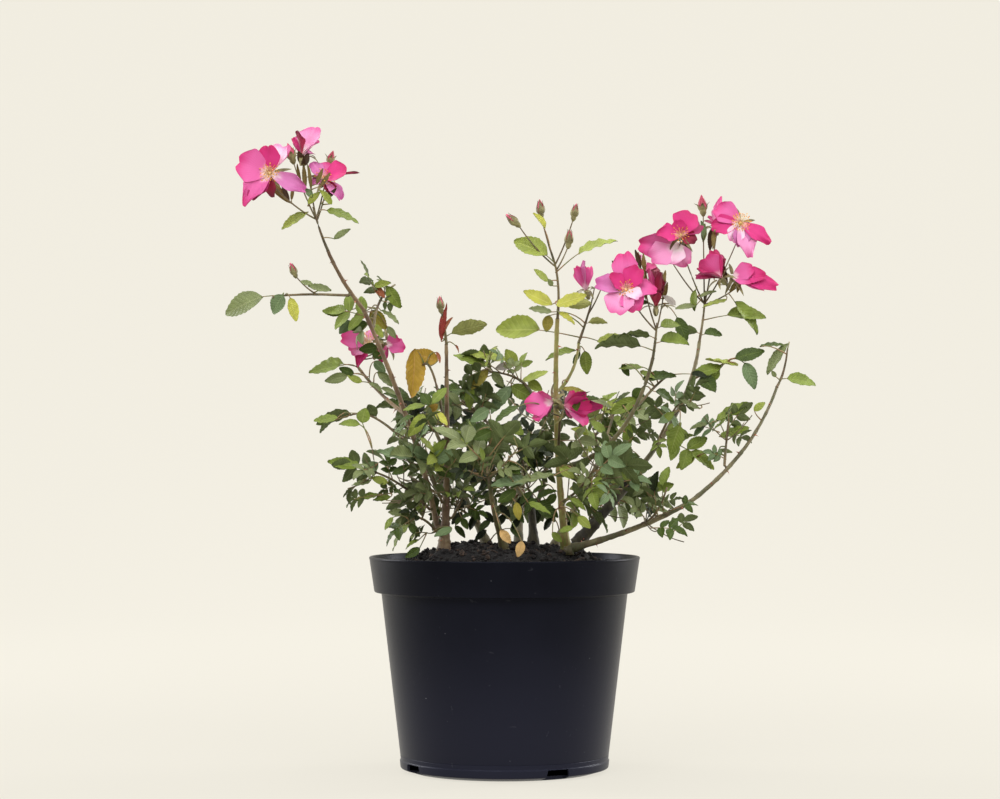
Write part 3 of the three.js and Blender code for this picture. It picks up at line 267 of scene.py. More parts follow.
# The tones that each mass's leaves are dealt from.
TONES_MASS = ("shade", "deep", "deep", "dusky", "mid")
TONES = {
    "bloom_left_top": ("mid", "fresh"), "spray_left_arm": ("mid", "dusky", "young"),
    "spray_left_mid": ("mid", "dusky", "fresh", "mid"), "bloom_left_low": ("mid", "dusky", "dusky"),
    "spray_left_reach": ("mid", "dusky"), "leaves_bronze": ("bronze",), "tip_red": ("mid", "fresh"),
    "spray_arch": ("dusky", "mid", "fresh", "sheen"), "bloom_centre_mid": ("mid", "fresh", "mid"),
    "buds_centre_top": ("young", "young", "fresh"), "bloom_right_a": ("mid", "deep"),
    "bloom_right_b": ("mid", "deep"), "spray_right_back": ("mid", "deep"), "spray_right_up": ("fresh", "mid"),
    "spray_right_sweep": ("mid", "dusky", "sheen"), "spray_right_stem": ("mid", "sheen", "dusky"),
    "spray_right_inner": ("mid", "deep"), "mass_left": ("mid", "fresh", "deep", "sheen", "dusky"),
    "mass_front": ("mid", "deep", "shade", "dusky", "deep"), "mass_centre": ("deep", "shade", "mid"),
    "mass_front_right": ("deep", "mid", "dusky", "sheen", "mid"),
    "mass_right": ("mid", "dusky", "mid", "sheen", "fresh"), "mass_back": ("shade", "shade", "deep"),
    "mass_back_low": ("shade", "deep"),
}

# Each bloom: where its petals spring from, the way it faces, how many stamens it shows, then its petals.
# A petal is the way from the throat to its end, its width, its tone and how far its end is pointed.
BLOOMS = (
    ((-185, -86, 480), (-0.3, -1, 0.2), 40, ((-26, -5, 9, 28, "pink", 0), (-1, -7, 22, 21, "hot", 0),
     (-21, -9, -27, 21, "pink", 0.6), (-15, -8, -22, 18, "rich", 0.2), (30, -3, -14, 15, "lilac", 0.2),
     (10, 5, 24, 18, "white", 0), (15, 6, 23, 12, "pale", 0.2), (2, 3, -20, 11, "crimson", 0.4))),
    ((-162, -58, 497), (0.1, -0.3, 1), 0, ((-4, -4, 20, 14, "crimson", 0.5), (-8, 3, 15, 12, "hot", 0.4),
     (11, 5, 24, 23, "pale", 0), (14, -2, 12, 18, "pale", 0), (10, 3, 2, 14, "lilac", 0),
     (3, 9, 20, 18, "pink", 0))),
    ((-145, -54, 478), (0.35, -0.7, 0.7), 22, ((-10, -3, 14, 16, "lilac", 0), (-10, -2, -3, 12, "lilac", 0.2),
     (19, -6, 7, 25, "hot", 0), (15, -3, -17, 15, "lilac", 0.2), (6, 9, 14, 19, "pink", 0),
     (29, -4, 6, 4, "crimson", 0.9), (7, -4, -14, 13, "crimson", 0.4))),
    ((-113, 40, 351), (-0.3, -1, 0.35), 30, ((-24, -5, 4, 17, "pink", 0), (-10, -7, -21, 14, "hot", 0.6),
     (-16, -6, -8, 17, "pale", 0), (5, 4, 12, 12, "pale", 0))),
    ((-98, 38, 350), (0.6, -0.7, 0.1), 0, ((15, -5, -5, 17, "pink", 0.2), (10, -3, 6, 14, "pink", 0),
     (-7, -4, -17, 9, "rich", 0.4))),
    ((38, -82, 300), (-0.8, -0.5, -0.1), 0, ((-10, -6, 8, 16, "pink", 0), (-22, -7, -4, 20, "pink", 0),
     (-15, -4, -15, 17, "pink", 0.1), (-15, 2, 4, 15, "pink", 0), (-6, -2, -12, 12, "rich", 0))),
    ((47, -82, 296), (0.8, -0.5, 0.0), 0, ((6, -5, 13, 16, "pink", 0), (21, -9, 3, 22, "hot", 0),
     (31, -4, 0, 14, "rich", 0.5), (17, -6, -15, 21, "pink", 0), (19, 3, 9, 18, "hot", 0),
     (7, 0, -9, 12, "rich", 0))),
    ((66, -30, 391), (-0.3, -0.3, 0.9), 0, ((-9, -5, 19, 16, "pink", 0), (-2, -6, 24, 14, "lilac", 0.1),
     (3, 4, 20, 13, "pink", 0), (-5, 6, 21, 14, "pink", 0))),
    ((95, -98, 387), (-0.1, -0.85, 0.55), 34, ((11, -4, 18, 20, "hot", 0), (-1, 4, 31, 21, "pink", 0),
     (-25, -4, 5, 19, "lilac", 0), (-13, -9, 12, 15, "hot", 0.2), (-9, -14, -20, 25, "pale", 0),
     (8, -12, -18, 20, "pink", 0), (25, -7, -1, 17, "pink", 0.2), (11, -14, -7, 13, "white", 0))),
    ((111, -74, 403), (0.2, -0.4, 1), 0, ((-6, -4, 15, 10, "crimson", 0.5), (-3, -1, 14, 7, "white", 0.3),
     (12, -5, 0, 14, "crimson", 0.1), (11, -3, -8, 13, "crimson", 0.1), (8, 5, 7, 12, "rich", 0))),
    ((119, -90, 375), (0, -0.2, 1), 0, ((-6, -3, 30, 14, "rich", 0.1), (4, -3, 27, 14, "crimson", 0.1),
     (0, 4, 29, 14, "crimson", 0), (8, 0, 20, 11, "crimson", 0.3), (-3, -6, 15, 14, "crimson", 0.2),
     (4, -6, 12, 12, "crimson", 0.2))),
    ((150, 74, 444), (-0.4, -1, 0.45), 30, ((-22, -6, 1, 20, "hot", 0.5), (-3, -4, 13, 14, "hot", 0),
     (9, -2, 20, 27, "hot", 0), (18, 3, 10, 20, "rich", 0), (13, -5, -6, 14, "crimson", 0.2))),
    ((149, 80, 436), (-0.5, -0.8, -0.2), 0, ((-36, -7, 0, 23, "pink", 0), (-26, -7, -12, 23, "pale", 0),
     (-9, -9, -17, 25, "white", 0), (7, -7, -18, 21, "pale", 0))),
    ((201, 84, 455), (0.15, -1, 0.3), 44, ((-22, 2, 14, 22, "pink", 0), (-26, -4, -4, 19, "hot", 0.1),
     (8, -9, -31, 19, "pale", 0.4), (26, -7, -18, 16, "hot", 0.3), (-8, -8, -17, 16, "white", 0),
     (0, -8, -22, 16, "lilac", 0))),
    ((184, 78, 408), (-0.6, -0.4, 0.7), 0, ((-20, -9, 6, 23, "hot", 0), (-15, -11, 17, 24, "pink", 0),
     (-7, -4, 24, 22, "hot", 0), (-22, 0, 1, 16, "rich", 0), (-2, 4, 20, 20, "rich", 0),
     (3, -4, 17, 12, "crimson", 0.2))),
    ((195, 86, 409), (0.1, -1, 0.45), 0, ((17, -6, 8, 17, "pink", 0), (28, -7, 1, 16, "hot", 0),
     (39, -5, -9, 16, "hot", 0), (16, -9, -4, 15, "pink", 0), (29, -3, -10, 14, "pink", 0),
     (10, 2, 3, 14, "rich", 0))),
    ((181, 92, 453), (-0.2, -0.3, 1), 0, ((5, 3, 27, 10, "pink", 0.3), (-7, -1, 9, 12, "pink", 0.2),
     (-3, -5, -16, 10, "crimson", 0.5), (-2, -5, -12, 8, "crimson", 0.5), (-11, 0, 5, 10, "rich", 0.2),
     (6, 3, 16, 14, "pink", 0), (2, 4, 22, 9, "pale", 0.6))),
)

# Leaves set one by one over each mass, given in the front view: how far across and down the root is,
# then the tip, and the width seen, all in the view's steps, and the tone. Each group stands at its own y.
VIEW_MIDDLE = (500, 451)
VIEW_REACH = 2684
VIEW_DISTANCE = 2200
VIEW_EYE = (-3.7, 261)
SET_LEAVES = (
    (30, ((462, 512, 452, 524, 8, "shade"), (470, 508, 480, 520, 8, "deep"), (476, 516, 468, 530, 8, "shade"),
     (484, 512, 494, 522, 8, "shade"), (490, 520, 480, 532, 7, "deep"), (500, 505, 510, 517, 8, "shade"),
     (505, 514, 497, 527, 8, "shade"), (514, 510, 524, 521, 8, "deep"), (520, 518, 511, 530, 7, "shade"),
     (447, 520, 437, 531, 8, "shade"), (455, 526, 466, 536, 7, "deep"), (440, 510, 430, 520, 8, "deep"),
     (530, 505, 540, 516, 8, "shade"), (540, 512, 532, 526, 8, "shade"), (548, 506, 558, 518, 8, "deep"),
     (552, 518, 543, 530, 7, "shade"), (565, 512, 575, 522, 8, "deep"), (574, 520, 565, 532, 7, "shade"),
     (510, 528, 521, 537, 6, "deep"), (486, 530, 475, 539, 6, "shade"), (466, 500, 455, 510, 9, "shade"),
     (495, 496, 484, 507, 9, "shade"), (526, 496, 516, 508, 9, "shade"), (556, 494, 546, 505, 9, "deep"))),
    (-62, ((290, 203, 266, 183, 5, "calyx"), (290, 203, 272, 180, 5, "calyx"),
     (289, 201, 281, 183, 5, "umber"), (291, 200, 293, 184, 4, "calyx"), (300, 188, 297, 163, 4, "calyx"),
     (305, 188, 303, 163, 5, "calyx"), (311, 189, 308, 165, 4, "calyx"), (303, 164, 298, 151, 8, "umber"),
     (304, 165, 308, 152, 7, "umber"), (312, 197, 305, 187, 7, "sheen"), (331, 204, 319, 190, 8, "fresh"),
     (308, 204, 319, 191, 8, "fresh"), (316, 184, 322, 168, 5, "calyx"), (320, 186, 330, 172, 5, "calyx"),
     (324, 200, 336, 188, 5, "umber"), (307, 212, 281, 227, 10, "fresh"), (326, 210, 360, 217, 11, "mid"),
     (334, 239, 350, 229, 8, "dusky"))),
    (-74, ((283, 294.5, 270, 313, 17, "sheen"), (290, 297.5, 296, 321, 11, "young"),
     (331, 291, 308, 287, 7, "dusky"), (313, 285, 300, 279, 5, "dusky"))),
    (0, ((346, 312, 322, 310.5, 11, "mid"), (350, 321, 340, 332, 12, "sheen"),
     (368, 323.5, 346, 328, 12, "deep"), (366, 311, 353, 321, 10, "fresh"),
     (371, 310.5, 385, 329, 16, "olive"), (371, 323, 383, 334.5, 9, "fresh"),
     (387, 326.5, 396, 338, 7, "dusky"), (380, 310, 400, 320.5, 4, "dusky"),
     (387, 286, 400, 308.5, 13, "mid"), (374, 286, 390, 282, 8, "fresh"),
     (375, 286, 384, 298, 8, "copper"))),
    (20, ((377, 347, 359.5, 350, 12, "deep"), (372, 352, 383, 359, 8, "deep"),
     (340, 366, 309, 369.5, 9, "mid"), (347, 376, 325.5, 381, 11, "dusky"),
     (354, 374, 339, 368, 9, "deep"), (362, 382, 347, 376, 8, "fresh"), (374, 361, 385, 372, 10, "sheen"),
     (377, 372, 393.5, 386, 10, "dusky"), (369, 383, 384, 389.5, 6, "dusky"),
     (381, 388, 397.5, 394, 6, "dusky"))),
    (-44, ((414, 349, 416, 396.5, 20, "bronze"), (438, 361, 413, 352, 17, "bronze"),
     (436, 352, 442, 362, 4, "copper"), (425, 405, 402.5, 406, 6, "mid"), (430, 405, 421, 392, 12, "deep"),
     (431, 404, 445.5, 386, 9, "mid"))),
    (-50, ((414, 416, 388.5, 425, 7, "deep"), (424, 414, 411, 436, 14, "fresh"),
     (435, 411, 447, 425, 9, "young"), (406, 429, 399, 436, 6, "dusky"),
     (429, 460, 405, 447.5, 17, "sheen"), (429, 461, 455.5, 452, 15, "sheen"),
     (428, 461, 378, 451.5, 10, "sheen"), (453, 432, 468.5, 446, 14, "mid"),
     (468, 442, 486, 458, 12, "mid"), (430, 458, 447, 441, 12, "mid"), (410, 466, 392, 474, 8, "deep"),
     (436, 468, 452, 476, 10, "deep"))),
    (-34, ((360.5, 467, 328, 463.5, 12, "mid"), (371, 480, 352, 486, 7, "dusky"),
     (378, 463, 362, 474, 13, "sheen"), (388, 483, 371, 477, 9, "fresh"), (378, 495, 354.5, 498, 7, "mid"),
     (391, 497, 373, 499, 7, "mid"), (338, 417.5, 314, 421.5, 8, "mid"), (360, 424.5, 339, 421, 9, "mid"),
     (362, 423, 365, 408, 15, "mid"))),
    (-36, ((410, 524, 387, 546, 8, "mid"), (409, 524, 420, 536, 9, "deep"), (419, 540, 404, 545.5, 5, "mid"),
     (420, 548, 406, 557, 9, "deep"), (393, 517, 383, 528, 6, "mid"), (452, 528, 435, 538, 9, "sheen"))),
    (56, ((506, 361, 471, 348, 9, "fresh"), (516, 365, 505, 350, 14, "fresh"),
     (491, 366.5, 454, 355.5, 8, "mid"), (488, 369, 470.5, 389, 12, "olive"),
     (471, 386, 467, 408, 10, "mid"), (492, 372, 504, 386, 10, "dusky"),
     (521, 382, 547.5, 371.5, 7, "fresh"), (528, 381, 542, 390, 11, "fresh"),
     (511, 386, 489, 411, 14, "sheen"), (511, 386, 534.5, 399, 16, "mid"),
     (495, 395, 478, 402, 6, "dusky"), (510, 365, 496, 368, 9, "dry"))),
    (-96, ((489, 409, 470, 421, 13, "sheen"), (519, 406, 492, 419, 8, "deep"),
     (533, 482, 491, 479, 8, "sheen"), (554, 476, 510, 480, 7, "dusky"), (528, 503, 549, 516, 9, "mid"),
     (516, 490, 498, 503, 12, "deep"), (505, 462, 520, 474, 11, "deep"), (492, 431, 474, 440, 12, "deep"),
     (508, 424, 524, 434, 12, "mid"), (500, 530, 511, 543, 10, "tan"), (522, 541, 518, 557, 10, "tan"),
     (516, 502, 519, 520, 9, "olive"))),
    (-40, ((455, 345, 460, 352, 3, "copper"), (441, 342, 446.5, 303, 5, "red"),
     (440, 338, 442, 309, 5, "red"), (443, 336, 448, 316, 4, "copper"))),
    (-28, ((552, 312, 529, 309, 8, "dusky"), (549, 315, 546.5, 332, 12, "olive"),
     (575, 351, 545, 354.5, 9, "mid"), (585, 351, 587, 374, 13, "mid"), (580, 352, 574, 364, 6, "deep"),
     (597, 341, 624.5, 332.5, 10, "fresh"), (562, 389, 586, 391.5, 6, "olive"))),
    (-84, ((559, 313, 575.5, 322, 7, "young"), (552, 305, 524, 291, 13, "young"),
     (556, 305, 586, 295, 12, "young"), (549, 281, 533, 270, 8, "fresh"),
     (552, 286, 549, 279, 6, "dusky"))),
    (-84, ((648, 303, 634, 300, 6, "deep"), (660, 296, 666, 270, 6, "calyx"),
     (663, 300, 668, 282, 5, "calyx"), (646, 300, 646, 272, 5, "calyx"), (641, 268, 636, 250, 5, "umber"),
     (645, 272, 643, 254, 5, "calyx"), (617, 276, 613, 261, 5, "calyx"), (620, 276, 618, 262, 4, "umber"),
     (676, 305, 664, 295, 8, "dry"))),
    (-56, ((677, 317, 688.5, 341, 14, "deep"), (643, 367, 619.5, 363.5, 6, "mid"),
     (622, 364, 629, 376, 8, "deep"), (643, 380, 675, 373.5, 10, "deep"), (640, 371, 655, 378, 7, "mid"),
     (641, 388, 634, 400, 13, "deep"), (637, 399, 611, 413, 14, "mid"), (622, 405, 638, 414, 10, "deep"))),
    (84, ((704, 240, 702, 221, 6, "sheen"), (703, 240, 705, 223, 5, "calyx"),
     (712, 228, 710, 250, 7, "umber"), (714, 230, 714, 248, 5, "calyx"), (683, 240, 691, 252, 5, "umber"),
     (724, 285, 720, 260, 6, "calyx"), (727, 287, 724, 262, 4, "umber"), (738, 280, 730, 292, 5, "calyx"),
     (740, 278, 738, 292, 5, "calyx"), (727, 300, 703, 307.5, 7, "fresh"),
     (697, 305, 676, 309, 6, "dusky"), (696, 290, 692, 310, 6, "mid"), (735, 302, 761, 331.5, 16, "mid"),
     (700, 297, 716, 291, 5, "dusky"))),
    (56, ((735, 358, 764.5, 350, 14, "deep"), (722, 367, 693, 375, 11, "mid"),
     (738, 366, 706, 361, 7, "fresh"), (720, 371, 706, 380, 12, "mid"), (745, 363, 756, 388, 15, "sheen"),
     (789, 344, 764.5, 371, 6, "dusky"), (760, 347, 784, 340.5, 3, "deep"))),
    (10, ((717, 421, 749, 404, 9, "mid"), (733, 412, 748, 411, 8, "fresh"),
     (754, 411, 764.5, 401.5, 8, "fresh"), (719, 437, 747.5, 425, 7, "mid"),
     (709, 424, 690, 428, 5, "dusky"), (700, 409, 680, 401, 6, "dusky"), (695, 457, 676, 467, 10, "fresh"),
     (697, 457, 716, 468, 9, "fresh"), (720, 452, 709, 458.5, 6, "mid"),
     (719, 450, 732, 452, 4, "dusky"))),
    (-10, ((603, 419, 616, 434, 14, "deep"), (630, 424, 626.5, 450, 11, "mid"),
     (640, 457, 621, 454, 6, "deep"), (680, 425, 670, 454, 18, "mid"), (589, 399, 613, 404, 5, "dusky"),
     (664, 421, 674, 411, 9, "mid"))),
    (-80, ((560, 467, 574, 478, 11, "fresh"), (570, 499, 587, 508, 7, "mid"),
     (578, 516, 590, 528, 10, "fresh"), (573, 527, 559, 533, 7, "mid"), (552, 532, 562, 543, 8, "mid"),
     (590, 489, 606, 497, 10, "mid"))),
    (36, ((776, 377, 772, 371, 5, "dusky"),)),
)


def from_view(across, down, depth):
    """The place at a depth that the front view shows at a step across and down."""
    step = (VIEW_DISTANCE + depth) / VIEW_REACH
    (x, z), (middle, level) = VIEW_EYE, VIEW_MIDDLE
    return Vector((x + (across - middle) * step, depth, z - (down - level) * step))


def set_leaves():
    """Each set leaf's root, tip, seen width and tone; a tip comes a little forwards or back of its root."""
    random = np.random.default_rng(3)
    found = []
    for depth, rows in SET_LEAVES:
        for across, down, tip_across, tip_down, width, tone in rows:
            tip = from_view(tip_across, tip_down, depth + random.uniform(-9, 4))
            seen = max(2, width * (VIEW_DISTANCE + depth) / VIEW_REACH)
            found.append((from_view(across, down, depth), tip, seen, tone))
    return found


# ---------------------------------------------------------------- growth, as in the frame's source


def seeded(seed):
    """The same run of numbers from 0 to 1 for the same seed."""
    state = seed & 0xFFFFFFFF
    while True:
        state = (state + 0x6D2B79F5) & 0xFFFFFFFF
        t = ((state ^ (state >> 15)) * (state | 1)) & 0xFFFFFFFF
        t ^= (t + (((t ^ (t >> 7)) * (t | 61)) & 0xFFFFFFFF)) & 0xFFFFFFFF
        yield ((t ^ (t >> 14)) & 0xFFFFFFFF) / 4294967296


class Curve:
    """A bend from start through mid to tip."""

    def __init__(self, start, mid, tip):
        self.start = Vector(start)
        self.tip = Vector(tip)
        self.control = Vector(mid) * 2 - (self.start + self.tip) * 0.5
        steps = [self.at(i / 40) for i in range(41)]
        self.length = sum((b - a).length for a, b in zip(steps, steps[1:]))

    def at(self, share):
        rest = 1 - share
        return self.start * rest * rest + self.control * 2 * rest * share + self.tip * share * share

    def tangent(self, share):
        way = (self.control - self.start) * (1 - share) + (self.tip - self.control) * share
        return way.normalized()

    def nearest(self, point):
        return min((i / 20 for i in range(21)), key=lambda share: (self.at(share) - point).length)

    def spaced(self, spacing):
        count = max(2, math.ceil(self.length / spacing))
        return [self.at(i / count) for i in range(count + 1)]


def square_to(direction, axis):
    return (direction - axis * direction.dot(axis)).normalized()


def sideways(axis):
    """Two directions square to an axis, steady along a gently bending limb."""
    helper = Vector((0, -1, 0)) if abs(axis.z) > 0.9 else UP
    first = square_to(helper, axis)
    return first, axis.cross(first)


def spoke(axis, turn):
    """The direction square to an axis at a turn round it."""
    first, second = sideways(axis)
    return first * math.cos(turn) + second * math.sin(turn)


def array_of(points):
    return np.array([tuple(point) for point in points])


def between(start, end, spacing):
    count = max(1, math.ceil((end - start).length / spacing))
    return [start.lerp(end, i / count) for i in range(count + 1)]


class Room:
    """Points already taken, looked up by cell, so that everything that grows keeps clear of the rest."""

    def __init__(self):
        self.cells = {}
        self.owners = {}

    def take(self, owner, points, radius, is_leaf=False):
        number = self.owners.setdefault(owner, len(self.owners))
        for point in points:
            x, y, z = point
            key = (math.floor(x / CELL), math.floor(y / CELL), math.floor(z / CELL))
            self.cells.setdefault(key, []).append((x, y, z, *key, radius, number, is_leaf))

    def is_free(self, owner, points, touch=TOUCH, crowding=CROWDING):
        spots = array_of(points)
        cells = np.floor(spots / CELL).astype(int)
        low, high = cells.min(0) - 1, cells.max(0) + 1
        near = []
        for i in range(low[0], high[0] + 1):
            for j in range(low[1], high[1] + 1):
                for k in range(low[2], high[2] + 1):
                    near += self.cells.get((i, j, k), ())
        if not near:
            return True
        near = np.array(near, float)
        number = self.owners.setdefault(owner, len(self.owners))
        own = near[:, 7] == number
        near = near[~(own & (near[:, 8] == 0))]
        own = near[:, 7] == number
        gaps = near[:, 6] + np.where(own, crowding, touch)
        beside = (np.abs(cells[:, None, :] - near[None, :, 3:6]) <= 1).all(2)
        distance = np.linalg.norm(spots[:, None, :] - near[None, :, :3], axis=2)
        return not (beside & (distance < gaps[None, :])).any()


class Plant:
    """The whole bush laid out as limbs, twigs, leaves, blooms and buds, before any mesh is made."""

    def __init__(self):
        self.room = Room()
        self.limbs = {}
        self.twigs = []
        self.leaves = []
        self.buds = []
        for plan in LIMBS:
            self.lay_limb(**plan)
        masses = [Mass(self, plan, SEED + index) for index, plan in enumerate(MASSES)]
        for grown in masses:
            grown.grow_edge()
        for grown in masses:
            grown.grow_fill()
        for grown in masses:
            grown.grow_finer()

    def branch_start(self, name, share, towards, radius):
        limb = self.limbs[name]
        centre, axis = limb["curve"].at(share), limb["curve"].tangent(share)
        heading = (towards - centre).normalized()
        lean = min(max(heading.dot(axis), -0.95), 0.95)
        if share == 1:
            return centre + axis * (CLEAR + radius * math.sqrt(1 - lean * lean))
        gap = limb["radius_at"](share) + CLEAR + radius * min(1, max(0, lean) + 0.5)
        return centre + square_to(heading, axis) * gap

    def lay_limb(self, name, foot, on, mid, tip, radius):
        mid, tip = Vector(mid), Vector(tip)
        start = Vector((*foot, SOIL_TOP + CLEAR)) if foot else self.branch_start(*on, mid, radius[0])
        curve = Curve(start, mid, tip)

        def radius_at(share):
            flare = FLARE * math.exp(-share * curve.length / FLARE_HEIGHT) if foot else 0
            return (radius[0] + (radius[1] - radius[0]) * share) * (1 + flare)

        anchor = self.limbs[on[0]]["curve"].at(on[1]) if on else None
        self.limbs[name] = {"curve": curve, "radius_at": radius_at, "anchor": anchor}
        points = curve.spaced(3)
        for i, point in enumerate(points):
            self.room.take(name, [point], radius_at(i / (len(points) - 1)))


class Leaf:
    """A leaf's stalk from base along heading, with its leaflets bent as the blade bends."""

    def __init__(self, base, heading, face, size, end_length=END_LEAFLET):
        self.base = base
        self.heading = heading
        self.face = face
        self.side = heading.cross(face).normalized()
        self.size = size
        self.end_length = end_length
        self.pairs = 0

    def place(self, x, y):
        bend = abs(x) * LEAF_FOLD + max(y, 0) * (1 - y) * LEAF_ARCH
        along, across = self.heading * (y * self.size), self.side * (x * self.size)
        return self.base + along + across + self.face * (bend * self.size)

    def leaflets(self, pairs):
        """Each leaflet as the place of its root up the stalk, its turn from the stalk and its length."""
        rows = [(SECOND_PAIR, LEAFLET_SPREAD, LOWER_LEAFLET), (FIRST_PAIR, LEAFLET_SPREAD, SIDE_LEAFLET)]
        return rows[2 - pairs:] + [(1 - self.end_length, 0, self.end_length)]

    def points(self, pairs):
        found = [self.place(0, y) for y in (0.12, 0.24, 0.36, 0.48)]
        spots = ((0.2, 0), (0.5, 0), (0.75, 0), (1, 0), (0.44, 1), (0.44, -1), (0.72, 0.5), (0.72, -0.5))
        for root, turn, length in self.leaflets(pairs):
            half = length * LEAFLET_WIDTH / 2
            for hand in (1, -1) if turn else (1,):
                for run, across in spots:
                    x = math.sin(turn) * run * length - math.cos(turn) * across * half
                    y = root + math.cos(turn) * run * length + math.sin(turn) * across * half
                    found.append(self.place(hand * x, y))
        return found


class Mass:
    """One foliage or bloom mass, grown from its stem within its space."""

    def __init__(self, plant, plan, seed):
        self.plant = plant
        self.plan = plan
        self.name = plan["name"]
        self.is_finer = False
        self.random = seeded(seed).__next__
        start = plant.branch_start(*plan["on"], Vector(plan["mid"]), STEM_RADIUS[0])
        self.stem = Curve(start, plan["mid"], plan["tip"])
        plant.room.take(self.name, self.stem.spaced(3), STEM_RADIUS[0])
        limb_name, share = plan["on"]
        plant.twigs.append((self.stem, STEM_RADIUS, plant.limbs[limb_name]["curve"].at(share)))
        low, high = (np.array(corner, float) for corner in plan["space"])
        self.middle, self.half = (low + high) / 2, (high - low) / 2

    def is_inside(self, points):
        places = array_of(points)
        off = (places - self.middle) / self.half
        inside = bool(((off ** 4).sum(1) <= 1).all())
        if self.is_finer:
            inside = inside and bool((places > FRAME_LOW).all() and (places < FRAME_HIGH).all())
        return inside

    def vary(self, amount):
        return 1 + (self.random() * 2 - 1) * amount

    def leaving(self, axis, turn):
        return (axis * math.cos(SPREAD) + spoke(axis, turn) * math.sin(SPREAD) + UP * LIFT).normalized()

    def twig(self, start, end, radius):
        bend = (end - start).length * 0.06
        middle = start.lerp(end, 0.5) - UP * bend
        self.plant.twigs.append((Curve(start, middle, end), (radius, radius * 0.65), None))
        self.plant.room.take(self.name, between(start, end, 4), radius)

    def grow_leaf(self, base, heading, size, end_length=END_LEAFLET, most=None, **gaps):
        hand = -1 if self.random() < 0.5 else 1
        roll = hand * ROLL * self.vary(0.35)
        face = sideways(heading)[0]
        face.rotate(Quaternion(heading, roll))
        leaf = Leaf(base, heading, face, size, end_length)
        most = (self.plan["leaflets"] - 1) // 2 if most is None else most
        for pairs in range(most, min(most, 1) - 1, -1):
            points = leaf.points(pairs)
            if self.is_inside(points) and self.plant.room.is_free(self.name, points, **gaps):
                leaf.pairs = pairs
                leaf.mass = self.name
                leaf.chance = self.random() if gaps else math.modf(size * 7.31 + base.x * 3.7)[0] % 1
                self.plant.leaves.append(leaf)
                self.plant.room.take(self.name, points, 0, True)
                return True
        return False

    def grow_twig(self, base, heading, length, leaves, size, radius, **gaps):
        end = base + heading * length
        points = between(base + heading * 3, end, 4)
        if not (self.is_inside(points) and self.plant.room.is_free(self.name, points)):
            return False
        self.twig(base, end, radius)
        turn = self.random() * math.pi * 2
        for i in range(leaves):
            at = base + heading * (length * (0.35 + 0.6 * i / max(leaves, 1)))
            self.grow_leaf(at, self.leaving(heading, turn + i * TWIST), size * self.vary(0.15), **gaps)
        return self.grow_leaf(end, heading, size, **gaps)

    def grow_reach(self, target):
        share = max(self.stem.nearest(target) - 0.25, 0.1) + self.random() * 0.06
        base = self.stem.at(share)
        distance = (target - base).length
        heading = (target - base).normalized()
        if self.plan["leaflets"] == 1:
            self.grow_leaf(base, heading, distance, min(self.plan["size"] / distance, 0.85))
            return
        size = min(distance, self.plan["size"] * 1.15)
        leaf_base = base + heading * (distance - size)
        if distance > size + TWIG_RADIUS:
            self.twig(base, leaf_base, TWIG_RADIUS)
        self.grow_leaf(leaf_base, heading, size)

    def grow_stalk(self, target):
        share = max(self.stem.nearest(target) - 0.3, 0.1) + self.random() * 0.06
        self.twig(self.stem.at(share), target, STALK_RADIUS)

    def grow_edge(self):
        for place, facing, radius in self.plan["blooms"]:
            throat, axis = Vector(place), Vector(facing).normalized()
            self.grow_stalk(throat - axis * (CALYX_HEIGHT - 1.5))
            self.random()
            self.plant.room.take(self.name, [throat + axis * radius * 0.4], radius * 0.8)
        for place, facing, length in self.plan["buds"]:
            base, axis = Vector(place), Vector(facing).normalized()
            self.grow_stalk(base + axis * 1.5)
            self.plant.buds.append((base, axis, length, self.name))
            self.plant.room.take(self.name, between(base, base + axis * length, 4), length * 0.18)
        for target in self.plan["reach"]:
            self.grow_reach(Vector(target))

    def grow_fill(self):
        turn = self.random() * math.pi * 2
        spots, size = self.plan["leaves"], self.plan["size"]
        for i in range(spots):
            share = 0.12 + 0.86 * (i + 0.5) / spots
            base, axis = self.stem.at(share), self.stem.tangent(share)
            for attempt in range(ATTEMPTS):
                heading = self.leaving(axis, turn + i * TWIST + attempt * TWIST)
                if self.grow_leaf(base, heading, size * self.vary(0.18)):
                    break
        self.grow_leaf(self.stem.at(1), self.stem.tangent(1), size)

    def grow_finer(self):
        """Side twigs with small leaves among the larger ones, in the same space."""
        finer = FINER.get(self.name, FINER_MASS if self.name.startswith("mass") else None)
        if not finer:
            return
        twigs, leaves, size = finer
        self.is_finer = True
        gaps = {"touch": 1.6, "crowding": 1.5, "most": 2}
        for i in range(twigs):
            share = 0.06 + 0.92 * (i + self.random()) / twigs
            base, axis = self.stem.at(share), self.stem.tangent(share)
            for attempt in range(ATTEMPTS + 3):
                heading = self.leaving(axis, (i + attempt) * TWIST)
                length = size * (0.5 + 0.9 * self.random())
                if self.grow_twig(base, heading, length, leaves, size * self.vary(0.25), 0.6, **gaps):
                    break


# ---------------------------------------------------------------- shapes


